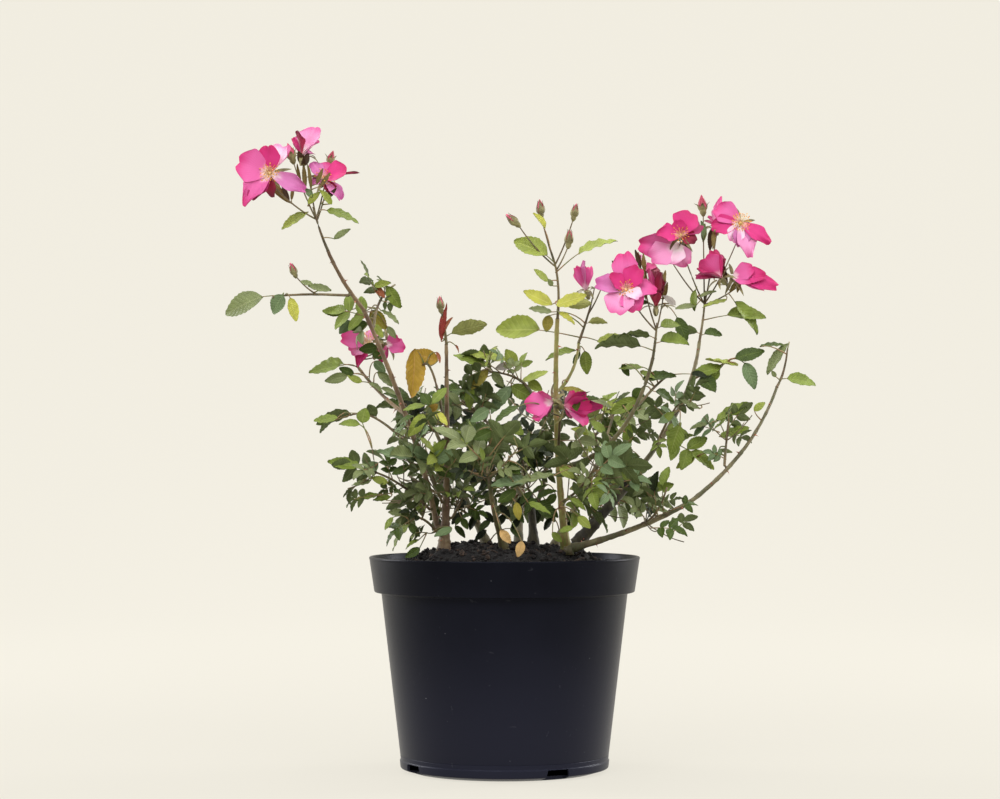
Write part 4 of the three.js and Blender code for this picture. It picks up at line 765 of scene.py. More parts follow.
class Sheaf:
    """Points, faces and pattern places gathered for one joined piece, in millimetres."""

    def __init__(self):
        self.points, self.places, self.faces = [], [], []
        self.count = 0

    def add(self, points, faces, places=None):
        points = np.asarray(points, float).reshape(-1, 3)
        self.points.append(points)
        self.places.append(np.zeros((len(points), 2)) if places is None else np.asarray(places, float))
        for group in faces:
            self.faces.append(np.asarray(group, int) + self.count)
        self.count += len(points)

    def build(self, name, material, smooth=True, pattern=None):
        """The joined piece; pattern names the map that its material reads, kept once more as OFBake."""
        mesh = bpy.data.meshes.new(name)
        points = np.concatenate(self.points) * MM
        corners = np.concatenate([group.ravel() for group in self.faces])
        sizes = np.concatenate([np.full(len(group), group.shape[1]) for group in self.faces])
        mesh.vertices.add(len(points))
        mesh.vertices.foreach_set("co", points.ravel())
        mesh.loops.add(len(corners))
        mesh.loops.foreach_set("vertex_index", corners)
        mesh.polygons.add(len(sizes))
        mesh.polygons.foreach_set("loop_start", np.concatenate(([0], np.cumsum(sizes)[:-1])))
        mesh.polygons.foreach_set("use_smooth", np.full(len(sizes), smooth))
        if pattern:
            places = np.concatenate(self.places)[corners].ravel()
            for label in (pattern, "OFBake"):
                mesh.uv_layers.new(name=label).data.foreach_set("uv", places)
        mesh.update(calc_edges=True)
        mesh.validate()
        piece = shown(name, mesh)
        mesh.materials.append(material)
        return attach(piece, BODY)


def shell(name, points, faces):
    mesh = bpy.data.meshes.new(name)
    mesh.from_pydata(points, [], faces)
    mesh.update()
    return mesh


def shown(name, data):
    """A new object of the scene with that mesh, light or camera."""
    made = bpy.data.objects.new(name, data)
    bpy.context.scene.collection.objects.link(made)
    return made


def lay(sheaf, name, finish, slot, *nodes, **look):
    """Builds a sheaf as one piece; slot is not used. The nodes are those of the frame that it dresses, and
    they are hidden.
    """
    piece = sheaf.build(name, finish, **look)
    if nodes:
        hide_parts(*nodes)


def grid_faces(rows, columns):
    """Quads over a grid of points laid row by row."""
    corner = np.arange(rows * columns).reshape(rows, columns)
    return np.stack((corner[:-1, :-1], corner[:-1, 1:], corner[1:, 1:], corner[1:, :-1]), -1).reshape(-1, 4)


def ring_faces(rings, sides):
    """Quads over rings of points that close on themselves."""
    around = np.arange(sides)
    after = (around + 1) % sides
    low = np.arange(rings - 1)[:, None] * sides
    return np.stack((low + around, low + after, low + sides + after, low + sides + around), -1).reshape(-1, 4)


def tube(sheaf, centres, radii, sides, relief=None):
    """A round limb through the centres; relief moves its skin in or out by a share of the radius."""
    centres = [Vector(centre) for centre in centres]
    rings = []
    for i, centre in enumerate(centres):
        ahead, behind = centres[min(i + 1, len(centres) - 1)], centres[max(i - 1, 0)]
        first, second = sideways((ahead - behind).normalized())
        turns = np.arange(sides) * 2 * math.pi / sides
        radius = np.full(sides, float(radii[i]))
        if relief is not None:
            radius = radius * (1 + relief[i])
        ring = np.cos(turns)[:, None] * np.array(first) + np.sin(turns)[:, None] * np.array(second)
        rings.append(np.array(centre) + ring * radius[:, None])
    count, around = len(rings), np.arange(sides)
    caps = around[::-1][None, :], ((count - 1) * sides + around)[None, :]
    sheaf.add(np.concatenate(rings), [ring_faces(count, sides), *caps])


def spike(sheaf, base, heading, length, radius, hook):
    """A thorn: broad at its foot along the cane and hooked down at its tip."""
    centres = [base + heading * (length * s) - UP * (hook * length * s * s) for s in (0, 0.3, 0.65, 1)]
    tube(sheaf, centres, [radius, radius * 0.5, radius * 0.22, radius * 0.04], 5)


# A leaflet's own shape, one unit long and one wide, toothed along both edges.
TEETH = 9


def leaflet_rows():
    rows = np.linspace(0, 1, 2 * TEETH + 1)
    half = np.sin(math.pi * rows ** 0.86) ** 0.72 * (1 - 0.12 * rows)
    half[0], half[-1] = 0.05, 0.012
    tooth = np.where(np.arange(len(rows)) % 2 == 1, 1.035, 0.97)
    ahead = np.where(np.arange(len(rows)) % 2 == 1, 0.018, 0.0)
    tooth[[0, -1]] = 1
    return rows, half, tooth, ahead


def lay_leaflets(sheaf, under, specs, random):
    """All leaflets of one tone at once: each spec is (root, heading, face, length, width, droop, fold)."""
    if not specs:
        return
    rows, half, tooth, ahead = leaflet_rows()
    across = np.array([-1, -0.55, 0, 0.55, 1.0])
    edge = (np.abs(across) == 1).astype(float)
    count = len(specs)
    each = (count, 1, 1)
    root, heading, face = (array_of(spec[i] for spec in specs)[:, None, None, :] for i in range(3))
    length, width, droop, fold = (np.array([spec[i] for spec in specs]).reshape(each) for i in range(3, 7))
    side = np.cross(heading, face)
    u = np.broadcast_to(across[None, :], (len(rows), 5))
    v = np.broadcast_to(rows[:, None], (len(rows), 5)) + ahead[:, None] * edge[None, :]
    reach = half[:, None] * (1 + (tooth[:, None] - 1) * edge[None, :]) * u * 0.5
    u, v, reach = u[None], v[None], reach[None]
    turn = np.maximum(np.abs(droop), 1e-3) * np.sign(droop + 1e-9)
    fall = -(1 - np.cos(turn * v)) / turn
    x = reach * width
    lift = np.abs(x) * np.tan(fold)
    phase = random.random(each) * 6.28
    wave = (0.006 + 0.02 * random.random(each)) * u ** 2 * np.sin(7.5 * v * math.pi + phase * (u > 0) + u)
    curl = (random.random(each) - 0.35) * 0.09 * u ** 2
    z = lift + (fall + wave + curl) * length
    x = x * np.cos(fold)
    y = np.sin(turn * v) / turn * length
    twist = ((random.random(each) - 0.5) * 0.9) * v
    x, z = x * np.cos(twist) - z * np.sin(twist), x * np.sin(twist) + z * np.cos(twist)
    points = root + side * x[..., None] + heading * y[..., None] + face * z[..., None]
    base = grid_faces(len(rows), 5)
    offsets = np.arange(count).reshape(each) * len(rows) * 5
    places = np.stack(((u * 0.5 * np.ones_like(v) + 0.5), v * np.ones_like(u)), -1)
    places = np.broadcast_to(places, (count, len(rows), 5, 2)).reshape(-1, 2)
    sheaf.add(points.reshape(-1, 3), [(base[None] + offsets).reshape(-1, 4)], places)
    normal = np.cross(np.gradient(points, axis=2), np.gradient(points, axis=1))
    normal /= np.maximum(np.linalg.norm(normal, axis=3, keepdims=True), 1e-9)
    below = points - normal * LEAF_THICK
    under.add(below.reshape(-1, 3), [(base[None, :, ::-1] + offsets).reshape(-1, 4)], places)


def petal(sheaf, throat, axis, chord, width, random, curl, ruffle, cup, point):
    """One petal from the throat to the end of its chord; point folds its end from round to pointed."""
    rows, columns = 13, 13
    outward = square_to(chord, axis)
    opening = axis.angle(chord) / 0.9
    length = chord.length * 1.03
    v = np.linspace(0, 1, rows)[:, None]
    u = np.linspace(-1, 1, columns)[None, :]
    half = width / 2 * (0.16 + 0.84 * np.sin(np.minimum(v / (0.74 - 0.12 * point), 1) * math.pi / 2) ** 1.1)
    half = half * (1 - (0.10 + 0.45 * point) * np.clip((v - 0.62) / 0.38, 0, 1) ** 2)
    shorter = 1 - (0.30 + 0.12 * point) * np.abs(u) ** (2.4 - 0.9 * point) * v ** 2.5
    notch = 0.07 * (1 - point) * np.exp(-((u / 0.22) ** 2)) * v ** 6
    run = v * (shorter - notch)
    angle = opening * (0.66 + 0.46 * run) + curl * np.clip(run - 0.72, 0, 1) ** 2 * 8
    step = np.gradient(run, axis=0)
    out = np.cumsum(np.sin(angle) * step, 0) - np.sin(angle[:1]) * step[:1]
    rise = np.cumsum(np.cos(angle) * step, 0) - np.cos(angle[:1]) * step[:1]
    phase = random.random(3) * 6.28
    wave = ruffle * run ** 3 * (np.sin(4.2 * u + phase[0]) + 0.55 * np.sin(8.4 * u + phase[1]))
    bow = (cup + 0.5 * point * v) * (u ** 2) * half / length * (1 - 0.4 * run)
    side = axis.cross(outward).normalized()
    lift_out, lift_up = -np.cos(angle), np.sin(angle)
    out = out + (wave + bow) * lift_out
    rise = rise + (wave + bow) * lift_up
    x = u * half * np.ones_like(v) * (1 - 0.25 * point * v)
    points = (
        np.array(throat)
        + out[..., None] * length * np.array(outward)
        + rise[..., None] * length * np.array(axis)
        + x[..., None] * np.array(side)
    )
    normal = lift_out[..., None] * np.array(outward) + lift_up[..., None] * np.array(axis)
    faces = grid_faces(rows, columns)
    places = np.stack((u * 0.5 + 0.5 + 0 * v, np.clip(run, 0, 1) + 0 * u), -1).reshape(-1, 2)
    sheaf.add(points.reshape(-1, 3), [faces], places)
    sheaf.add((points - normal * PETAL_THICK).reshape(-1, 3), [faces[:, ::-1]], places)


def sepal(sheaf, base, axis, outward, length, width, start, end):
    """A narrow green blade that bends from the angle start to the angle end off the bloom's axis."""
    rows = np.linspace(0, 1, 8)
    angle = start + (end - start) * rows
    half = width / 2 * (np.sin(math.pi * (0.18 + 0.82 * rows)) ** 0.7 * (1 - rows * 0.45) + 0.03)
    out = np.cumsum(np.sin(angle)) / len(rows) * length
    rise = np.cumsum(np.cos(angle)) / len(rows) * length
    side = axis.cross(outward).normalized()
    points = []
    for row in range(len(rows)):
        centre = base + outward * float(out[row]) + axis * float(rise[row])
        normal = axis * math.sin(angle[row]) - outward * math.cos(angle[row])
        for u in (-1, 0, 1):
            points.append(tuple(centre + side * (u * half[row]) + normal * (0.25 * half[row] * abs(u))))
    faces = grid_faces(len(rows), 3)
    sheaf.add(points, [faces])
    sheaf.add(np.array(points) + np.array(axis) * SEPAL_THICK, [faces[:, ::-1]])


def clasp(sheaf, base, axis, turn, profile, start, end, span, flick):
    """A sepal that clasps a turned body from start to end of its profile and flicks out at its tip."""
    heights, radii = zip(*profile)
    points = []
    rows = 9
    for row in range(rows):
        share = row / (rows - 1)
        height = start + (end - start) * share
        radius = float(np.interp(height, heights, radii)) * 1.05 + 0.22 + flick * max(0.0, share - 0.6) ** 2
        half = span * (1 - share ** 2.3) + 0.02
        for u in (-1, -0.5, 0, 0.5, 1):
            outward = spoke(axis, turn + half * u)
            points.append(tuple(base + axis * height + outward * (radius - 0.1 * abs(u))))
    faces = grid_faces(rows, 5)
    sheaf.add(points, [faces])
    outer, foot, way = np.array(points), np.array(base), np.array(axis)
    inward = foot + ((outer - foot) @ way)[:, None] * way - outer
    sheaf.add(outer + inward * (0.15 / np.linalg.norm(inward, axis=1, keepdims=True)), [faces[:, ::-1]])


def turned(sheaf, base, axis, profile, sides):
    """A closed body turned round an axis: profile holds (height, radius) pairs."""
    centres = [base + axis * height for height, _ in profile]
    tube(sheaf, centres, [radius for _, radius in profile], sides)


# ---------------------------------------------------------------- finishes


def colour(chart):
    """A paint-chart colour, 0 to 255 a channel, as the shader's linear one."""
    shares = [value / 255 for value in chart]
    return (*(s / 12.92 if s <= 0.04045 else ((s + 0.055) / 1.055) ** 2.4 for s in shares), 1)


def darker(tone, share):
    return (tone[0] * share, tone[1] * share, tone[2] * share, 1)


class Web:
    """A short way to lay nodes in a material or a group and to join them."""

    def __init__(self, tree):
        self.tree = tree

    def feed(self, socket, value):
        """Joins a socket to another one, or gives it a plain value."""
        if isinstance(value, bpy.types.NodeSocket):
            self.tree.links.new(value, socket)
        else:
            socket.default_value = value

    def node(self, kind, inputs=None, **settings):
        made = self.tree.nodes.new("ShaderNode" + kind)
        for key, value in settings.items():
            setattr(made, key, value)
        for key, value in (inputs or {}).items():
            self.feed(made.inputs[key], value)
        return made

    def maths(self, operation, *values, clamp=False):
        return self.node("Math", dict(enumerate(values)), operation=operation, use_clamp=clamp).outputs[0]

    def times(self, first, second):
        return self.maths("MULTIPLY", first, second)

    def plus(self, first, second, clamp=False):
        return self.maths("ADD", first, second, clamp=clamp)

    def less(self, first, second):
        return self.maths("SUBTRACT", first, second)

    def off_half(self, value):
        """How far a value is from a half: 0 there, 1 at 0 and at 1."""
        return self.times(self.maths("ABSOLUTE", self.less(value, 0.5)), 2.0)

    def mix(self, factor, first, second):
        return self.node("Mix", {0: factor, 6: first, 7: second}, data_type="RGBA").outputs[2]

    def noise(self, vector, scale, detail=3.0, roughness=0.55):
        inputs = {"Vector": vector, "Scale": scale, "Detail": detail, "Roughness": roughness}
        return self.node("TexNoise", inputs).outputs["Fac"]

    def soft(self, value, low, high):
        inputs = {"Value": value, "From Min": low, "From Max": high}
        return self.node("MapRange", inputs, interpolation_type="SMOOTHSTEP").outputs[0]

    def parts(self, vector):
        return self.node("SeparateXYZ", {0: vector}).outputs

    def place(self):
        return self.node("TexCoord").outputs["Object"]

    def pattern(self, name):
        return self.node("UVMap", uv_map=name).outputs["UV"]


def shader_group(name, inputs, *outputs):
    """A group with its sockets, inputs by their defaults: its web, what it is given and what it puts out."""
    tree = bpy.data.node_groups.new(name, "ShaderNodeTree")
    for label, default in inputs.items():
        kind = "NodeSocketFloat" if isinstance(default, float) else "NodeSocketColor"
        tree.interface.new_socket(label, in_out="INPUT", socket_type=kind).default_value = default
    for label in outputs:
        kind = "NodeSocketColor" if label == "Colour" else "NodeSocketFloat"
        tree.interface.new_socket(label, in_out="OUTPUT", socket_type=kind)
    return Web(tree), tree.nodes.new("NodeGroupInput").outputs, tree.nodes.new("NodeGroupOutput").inputs


@cache
def leaf_veins():
    """Ribs of a leaflet: one down its middle and slanting ones out to the teeth."""
    sizes = {"Count": 9.0, "Slant": 0.2, "Width": 0.16}
    web, given, out = shader_group("Leaf veins", sizes, "Ribs", "Height")
    parts = web.parts(web.pattern("blade"))
    across = web.off_half(parts[0])
    slant = web.less(parts[1], web.times(across, given["Slant"]))
    far = web.off_half(web.maths("FRACT", web.times(slant, given["Count"])))
    side = web.less(1.0, web.soft(far, 0.0, given["Width"]))
    middle = web.less(1.0, web.soft(across, 0.02, 0.11))
    ribs = web.maths("MAXIMUM", web.times(side, 0.6), middle)
    pucker = web.maths("SINE", web.times(far, math.pi / 2))
    web.feed(out["Ribs"], ribs)
    web.feed(out["Height"], web.less(web.times(pucker, 0.8), ribs))
    return web.tree


@cache
def mottle():
    """Slow change of a colour over a surface, between a lower and an upper tone."""
    tones = {"Lower": darker((1, 1, 1), 0.1), "Upper": darker((1, 1, 1), 0.2)}
    web, given, out = shader_group("Mottle", {**tones, "Scale": 60.0, "Contrast": 1.0}, "Colour", "Mask")
    cloud = web.noise(web.place(), given["Scale"], 4.0)
    spread = web.plus(web.times(web.less(cloud, 0.5), given["Contrast"]), 0.5, True)
    mask = web.soft(spread, 0.3, 0.7)
    web.feed(out["Colour"], web.mix(mask, given["Lower"], given["Upper"]))
    web.feed(out["Mask"], mask)
    return web.tree


@cache
def petal_blush():
    """A petal's colour from its pale claw through its body to its darker rim, with faint veins."""
    tones = {"Claw": (0.9, 0.85, 0.8, 1), "Body": (0.8, 0.2, 0.5, 1), "Rim": (0.7, 0.05, 0.3, 1)}
    ends = {"Claw End": 0.36, "Rim Start": 0.62}
    web, given, out = shader_group("Petal blush", {**tones, **ends}, "Colour", "Height")
    place = web.pattern("petal")
    parts = web.parts(place)
    across = web.off_half(parts[0])
    cloud = web.noise(place, 3.2)
    reach = web.plus(parts[1], web.times(web.less(cloud, 0.5), 0.28))
    reach = web.plus(reach, web.times(across, 0.08))
    body = web.soft(reach, web.times(given["Claw End"], 0.35), given["Claw End"])
    rim = web.soft(reach, given["Rim Start"], 1.02)
    fan = web.maths("DIVIDE", web.less(parts[0], 0.5), web.plus(parts[1], 0.25))
    ray = web.maths("SINE", web.times(web.plus(fan, web.times(cloud, 0.08)), 85.0))
    ray = web.plus(web.times(ray, 0.5), 0.5)
    blushed = web.mix(rim, web.mix(body, given["Claw"], given["Body"]), given["Rim"])
    deeper = web.mix(0.5, blushed, given["Rim"])
    web.feed(out["Colour"], web.mix(web.times(web.times(ray, body), 0.22), blushed, deeper))
    web.feed(out["Height"], ray)
    return web.tree


@cache
def cane_bark():
    """Long streaks and small pits that run up a cane."""
    web, given, out = shader_group("Cane bark", {"Scale": 420.0, "Stretch": 0.14}, "Streaks", "Height")
    place = web.place()
    parts = web.parts(place)
    drawn = web.node("CombineXYZ", {0: parts[0], 1: parts[1], 2: web.times(parts[2], given["Stretch"])})
    streaks = web.noise(drawn.outputs[0], given["Scale"], 4.0, 0.6)
    pits = web.noise(place, web.times(given["Scale"], 3.0), 2.0)
    web.feed(out["Streaks"], web.soft(streaks, 0.38, 0.62))
    web.feed(out["Height"], web.plus(streaks, web.times(pits, 0.35)))
    return web.tree


def placed(web, make, **values):
    """The shader group of that maker, placed with these values."""
    inputs = {label.replace("_", " "): value for label, value in values.items()}
    return web.node("Group", inputs, node_tree=make()).outputs


def principled(name, roughness, **sockets):
    """A new material: its web and its Principled node."""
    material = bpy.data.materials.new(name)
    material.use_nodes = True
    shader = material.node_tree.nodes["Principled BSDF"]
    for label, value in {"Roughness": roughness, **sockets}.items():
        shader.inputs[label.replace("_", " ")].default_value = value
    return material, Web(material.node_tree), shader


def dress(web, shader, skin, height, strength, depth=0.4):
    """Gives a shader its colour and a relief as deep as some millimetres."""
    web.feed(shader.inputs["Base Color"], skin)
    relief = web.node("Bump", {"Height": height, "Strength": strength, "Distance": depth * MM})
    web.feed(shader.inputs["Normal"], relief.outputs["Normal"])


def leaf_finish(name, tone, rib, roughness, shine):
    """Leaf skin: a plain tone with slow mottling, paler ribs and puckers between them."""
    material, web, shader = principled(name, roughness, Specular_IOR_Level=shine)
    veins = placed(web, leaf_veins)
    tone = colour(tone)
    cloud = placed(web, mottle, Lower=darker(tone, 0.82), Upper=darker(tone, 1.16), Scale=90.0)
    skin = web.mix(web.times(veins["Ribs"], 0.45), cloud["Colour"], colour(rib))
    dress(web, shader, skin, veins["Height"], 0.5)
    return material


def petal_finish(name, claw, body, rim, claw_end, rim_start):
    """Petal skin: satin, pale at its claw and deeper at its rim."""
    material, web, shader = principled(name, 0.55, Specular_IOR_Level=0.3, Sheen_Weight=0.12)
    tones = {"Claw": colour(claw), "Body": colour(body), "Rim": colour(rim)}
    blush = placed(web, petal_blush, **tones, Claw_End=claw_end, Rim_Start=rim_start)
    dress(web, shader, blush["Colour"], blush["Height"], 0.25, 0.2)
    return material


def bark_finish(name, lower, upper, streak):
    """Cane skin: mottled between two tones, with streaks of a third along it."""
    material, web, shader = principled(name, 0.62)
    bark = placed(web, cane_bark)
    cloud = placed(web, mottle, Lower=colour(lower), Upper=colour(upper), Scale=55.0, Contrast=1.6)
    skin = web.mix(web.times(bark["Streaks"], 0.45), cloud["Colour"], colour(streak))
    dress(web, shader, skin, bark["Height"], 0.6, 0.5)
    return material


def speckled_finish(name, lower, upper, roughness, scale, strength=0.4):
    """A plain finish with a fine grain: stamens, thorns, sepals and compost."""
    material, web, shader = principled(name, roughness)
    cloud = placed(web, mottle, Lower=colour(lower), Upper=colour(upper), Scale=scale, Contrast=1.4)
    dress(web, shader, cloud["Colour"], cloud["Mask"], strength)
    return material


def pot_finish(settings):
    """Blow-moulded black plastic: a satin skin, paler towards its foot with a painted reflection of the
    floor, faint turning marks, scuffs and dust.
    """
    shine = {"Specular_IOR_Level": 0.09, "Specular_Tint": (0.7, 0.76, 1, 1)}
    material, web, shader = principled("pot_plastic", 0.4, **shine)
    place = web.place()
    rise = web.parts(place)[2]
    body = (*settings.wall_colour, 1)
    # Paler towards the foot: a painted reflection of the floor on the lower wall.
    dusty = (body[0] * 7, body[1] * 7, body[2] * 6.2, 1)
    tone = web.mix(web.soft(web.maths("DIVIDE", rise, POT["height"] * MM), 0.95, 0.1), body, dusty)
    cloud = placed(web, mottle, Lower=tone, Upper=web.mix(0.16, tone, dusty), Scale=14.0)
    rings = web.noise(web.node("CombineXYZ", {2: rise}).outputs[0], 260.0, 2.0)
    long_way = web.node("Mapping", {"Vector": place, "Rotation": (0.3, 0.5, 0.9), "Scale": (14, 220, 60)})
    scuffs = web.soft(web.noise(long_way.outputs[0], 3.0, 2.0), 0.71, 0.76)
    grain = web.noise(place, 900.0, 2.0)
    specks = web.node("TexVoronoi", {"Vector": place, "Scale": 95.0}).outputs["Distance"]
    patches = web.soft(web.noise(place, 22.0, 2.0), 0.55, 0.7)
    dust = web.times(web.less(1.0, web.soft(specks, 0.03, 0.05)), patches)
    marks = web.maths("MAXIMUM", web.times(scuffs, 0.03), web.times(dust, 0.4))
    rough = web.plus(web.times(grain, 0.1), settings.roughness - 0.05)
    web.feed(shader.inputs["Roughness"], web.plus(rough, web.times(marks, 0.3)))
    skin = web.mix(marks, cloud["Colour"], colour((170, 172, 180)))
    dress(web, shader, skin, web.plus(web.times(rings, 0.6), web.times(grain, 0.25)), 0.18)
    return material


# ---------------------------------------------------------------- settings


class RosePotSettings(bpy.types.PropertyGroup):
    """The nursery pot."""

    roundness: bpy.props.IntProperty(name="Roundness", description="Sides round the pot", default=144)
    wall_colour: bpy.props.FloatVectorProperty(
        name="Wall colour", description="Plastic's colour", subtype="COLOR", default=(0.0022, 0.0023, 0.0044)
    )
    roughness: bpy.props.FloatProperty(
        name="Roughness", description="Satin of the plastic", default=0.34, subtype="FACTOR"
    )


class RoseSoilSettings(bpy.types.PropertyGroup):
    """The compost in the pot."""

    lump: bpy.props.FloatProperty(
        name="Lump height", description="How far lumps stand proud", default=0.0034, unit="LENGTH"
    )
    crumbs: bpy.props.IntProperty(name="Crumbs", description="Loose crumbs on the surface", default=1500)
    chips: bpy.props.IntProperty(name="Chips", description="Bark chips on the surface", default=90)


class RosePlantSettings(bpy.types.PropertyGroup):
    """Canes, leaves and blooms."""

    seed: bpy.props.IntProperty(name="Seed", description="Start of the small irregularities", default=7)
    thorn_gap: bpy.props.FloatProperty(
        name="Thorn gap", description="Cane between two thorns", default=0.015, unit="LENGTH"
    )
    thorn_length: bpy.props.FloatProperty(
        name="Thorn length", description="From the bark to the tip", default=0.0034, unit="LENGTH"
    )


class RoseStageSettings(bpy.types.PropertyGroup):
    """Floor, light and camera."""

    floor_colour: bpy.props.FloatVectorProperty(
        name="Floor colour", description="Pale studio floor", subtype="COLOR", default=(0.871, 0.838, 0.745)
    )
    light: bpy.props.FloatProperty(name="Light", description="Strength of the soft lights", default=1.0)


def settings_of(context):
    return context.scene.rose_pot, context.scene.rose_soil, context.scene.rose_plant, context.scene.rose_stage


@cache
def plant_of():
    """The bush's layout, grown once."""
    return Plant()


# ---------------------------------------------------------------- pot and compost


def lathe(profile, sides):
    """Points and faces turned round the z axis from (radius, height) pairs that start and end on it."""
    turns = np.arange(sides) * 2 * math.pi / sides
    inner = profile[1:-1]
    points = [(0, 0, profile[0][1] * MM), (0, 0, profile[-1][1] * MM)]
    for radius, height in inner:
        points += [(math.cos(t) * radius * MM, math.sin(t) * radius * MM, height * MM) for t in turns]
    faces = []
    for i in range(sides):
        after = (i + 1) % sides
        faces.append((0, 2 + after, 2 + i))
        for row in range(len(inner) - 1):
            low, high = 2 + row * sides, 2 + (row + 1) * sides
            faces.append((low + i, low + after, high + after, high + i))
        last = 2 + (len(inner) - 1) * sides
        faces.append((1, last + i, last + after))
    return shell("turned", points, faces)


def rounded(points, radius, steps=4):
    """A profile with its corners eased: each corner marked True becomes a short bend."""
    eased = []
    for i, (r, z, ease) in enumerate(points):
        if not ease:
            eased.append((r, z))
            continue
        here = Vector((r, z))
        before, after = Vector(points[i - 1][:2]), Vector(points[i + 1][:2])
        reach = min(radius, (before - here).length * 0.45, (after - here).length * 0.45)
        start, end = here + (before - here).normalized() * reach, here + (after - here).normalized() * reach
        for step in range(steps + 1):
            share = step / steps
            spot = start * (1 - share) ** 2 + here * 2 * share * (1 - share) + end * share ** 2
            eased.append((spot.x, spot.y))
    return eased


class OBJECT_OT_rose_pot(bpy.types.Operator):
    """Turns the nursery pot and cuts its drain slots"""

    bl_idname = "object.rose_pot"
    bl_label = "Make pot"

    def execute(self, context):
        settings = settings_of(context)[0]
        top, rim, rim_foot = POT["height"], POT["rim_radius"], POT["rim_foot_radius"]
        base, band, band_top = POT["base_radius"], POT["foot_band_radius"], POT["foot_band"]
        wall_top, wall, foot = top - POT["rim_depth"], POT["wall_top_radius"], POT["wall_foot_radius"]
        profile = rounded([
            (0, 0.6, False), (base - 4, 0.6, False), (base - 3, 0, False), (base, 0, False),
            (band - 0.6, 3, True), (band, band_top, True), (foot + 0.15, band_top + 0.7, True),
            (foot + 0.5, 12.9, False), (foot + 0.15, 13.3, False), (foot + 0.55, 13.8, False),
            (wall, wall_top, True), (rim_foot, wall_top + 0.5, True), (rim - 0.5, top - 2.4, True),
            (rim, top - 1.2, True), (rim - 0.9, top, True), (rim - 2.6, top - 0.3, True),
            (rim_foot - 2, wall_top + 4, True), (wall - 2, wall_top + 2, True), (foot - 2, 3.4, True),
            (0, 3.0, False),
        ], 1.1)
        pot = shown("nursery_pot", lathe(profile, settings.roundness))
        for i in range(POT["notch_count"]):
            self.cut_slot(context, pot, math.radians(POT["notch_first"] + i * 360 / POT["notch_count"]))
        pot.data.materials.clear()
        pot.data.materials.append(pot_finish(settings))
        pot.data.polygons.foreach_set("use_smooth", np.full(len(pot.data.polygons), True))
        pot.data.set_sharp_from_angle(angle=math.radians(38))
        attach(pot, BODY)
        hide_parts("pot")
        return {"FINISHED"}

    def cut_slot(self, context, pot, angle):
        """Cuts one drain slot through the foot, at an angle round the pot from its front."""
        near = POT["foot_band_radius"] - POT["notch_depth"]
        far = POT["foot_band_radius"] + 5
        low, high = POT["notch_foot"] / 2, POT["notch_top"] / 2
        corners = [(-low, -1), (low, -1), (high, POT["notch_height"]), (-high, POT["notch_height"])]
        points = [(x * MM, -depth * MM, z * MM) for depth in (near, far) for x, z in corners]
        faces = [(0, 3, 2, 1), (4, 5, 6, 7), (0, 1, 5, 4), (1, 2, 6, 5), (2, 3, 7, 6), (3, 0, 4, 7)]
        cutter = shown("slot", shell("slot", points, faces))
        cutter.rotation_euler = (0, 0, angle)
        modifier = pot.modifiers.new("slot", "BOOLEAN")
        modifier.operation = "DIFFERENCE"
        modifier.solver = "EXACT"
        modifier.object = cutter
        context.view_layer.update()
        shape = bpy.data.meshes.new_from_object(pot.evaluated_get(context.evaluated_depsgraph_get()))
        pot.modifiers.clear()
        pot.data = shape
        bpy.data.objects.remove(cutter)


HEAP_RADIUS = 104
HEAP_FALL = 26
HEAP_END = 106


def lumps(x, y, spots, heights):
    """Height of a lumpy surface: a sum of rounded waves from scattered spots."""
    total = np.zeros_like(x)
    for (cx, cy, size), height in zip(spots, heights):
        total += height * np.exp(-(((x - cx) ** 2 + (y - cy) ** 2) / (size * size)))
    return total


def soil_height(radius):
    """The heap's own height at a distance from the pot's middle."""
    flat = SOIL_FLAT * 0.45
    share = np.clip((radius - flat) / (HEAP_RADIUS - flat), 0, 1)
    return SOIL_TOP - HEAP_FALL * share ** 1.7


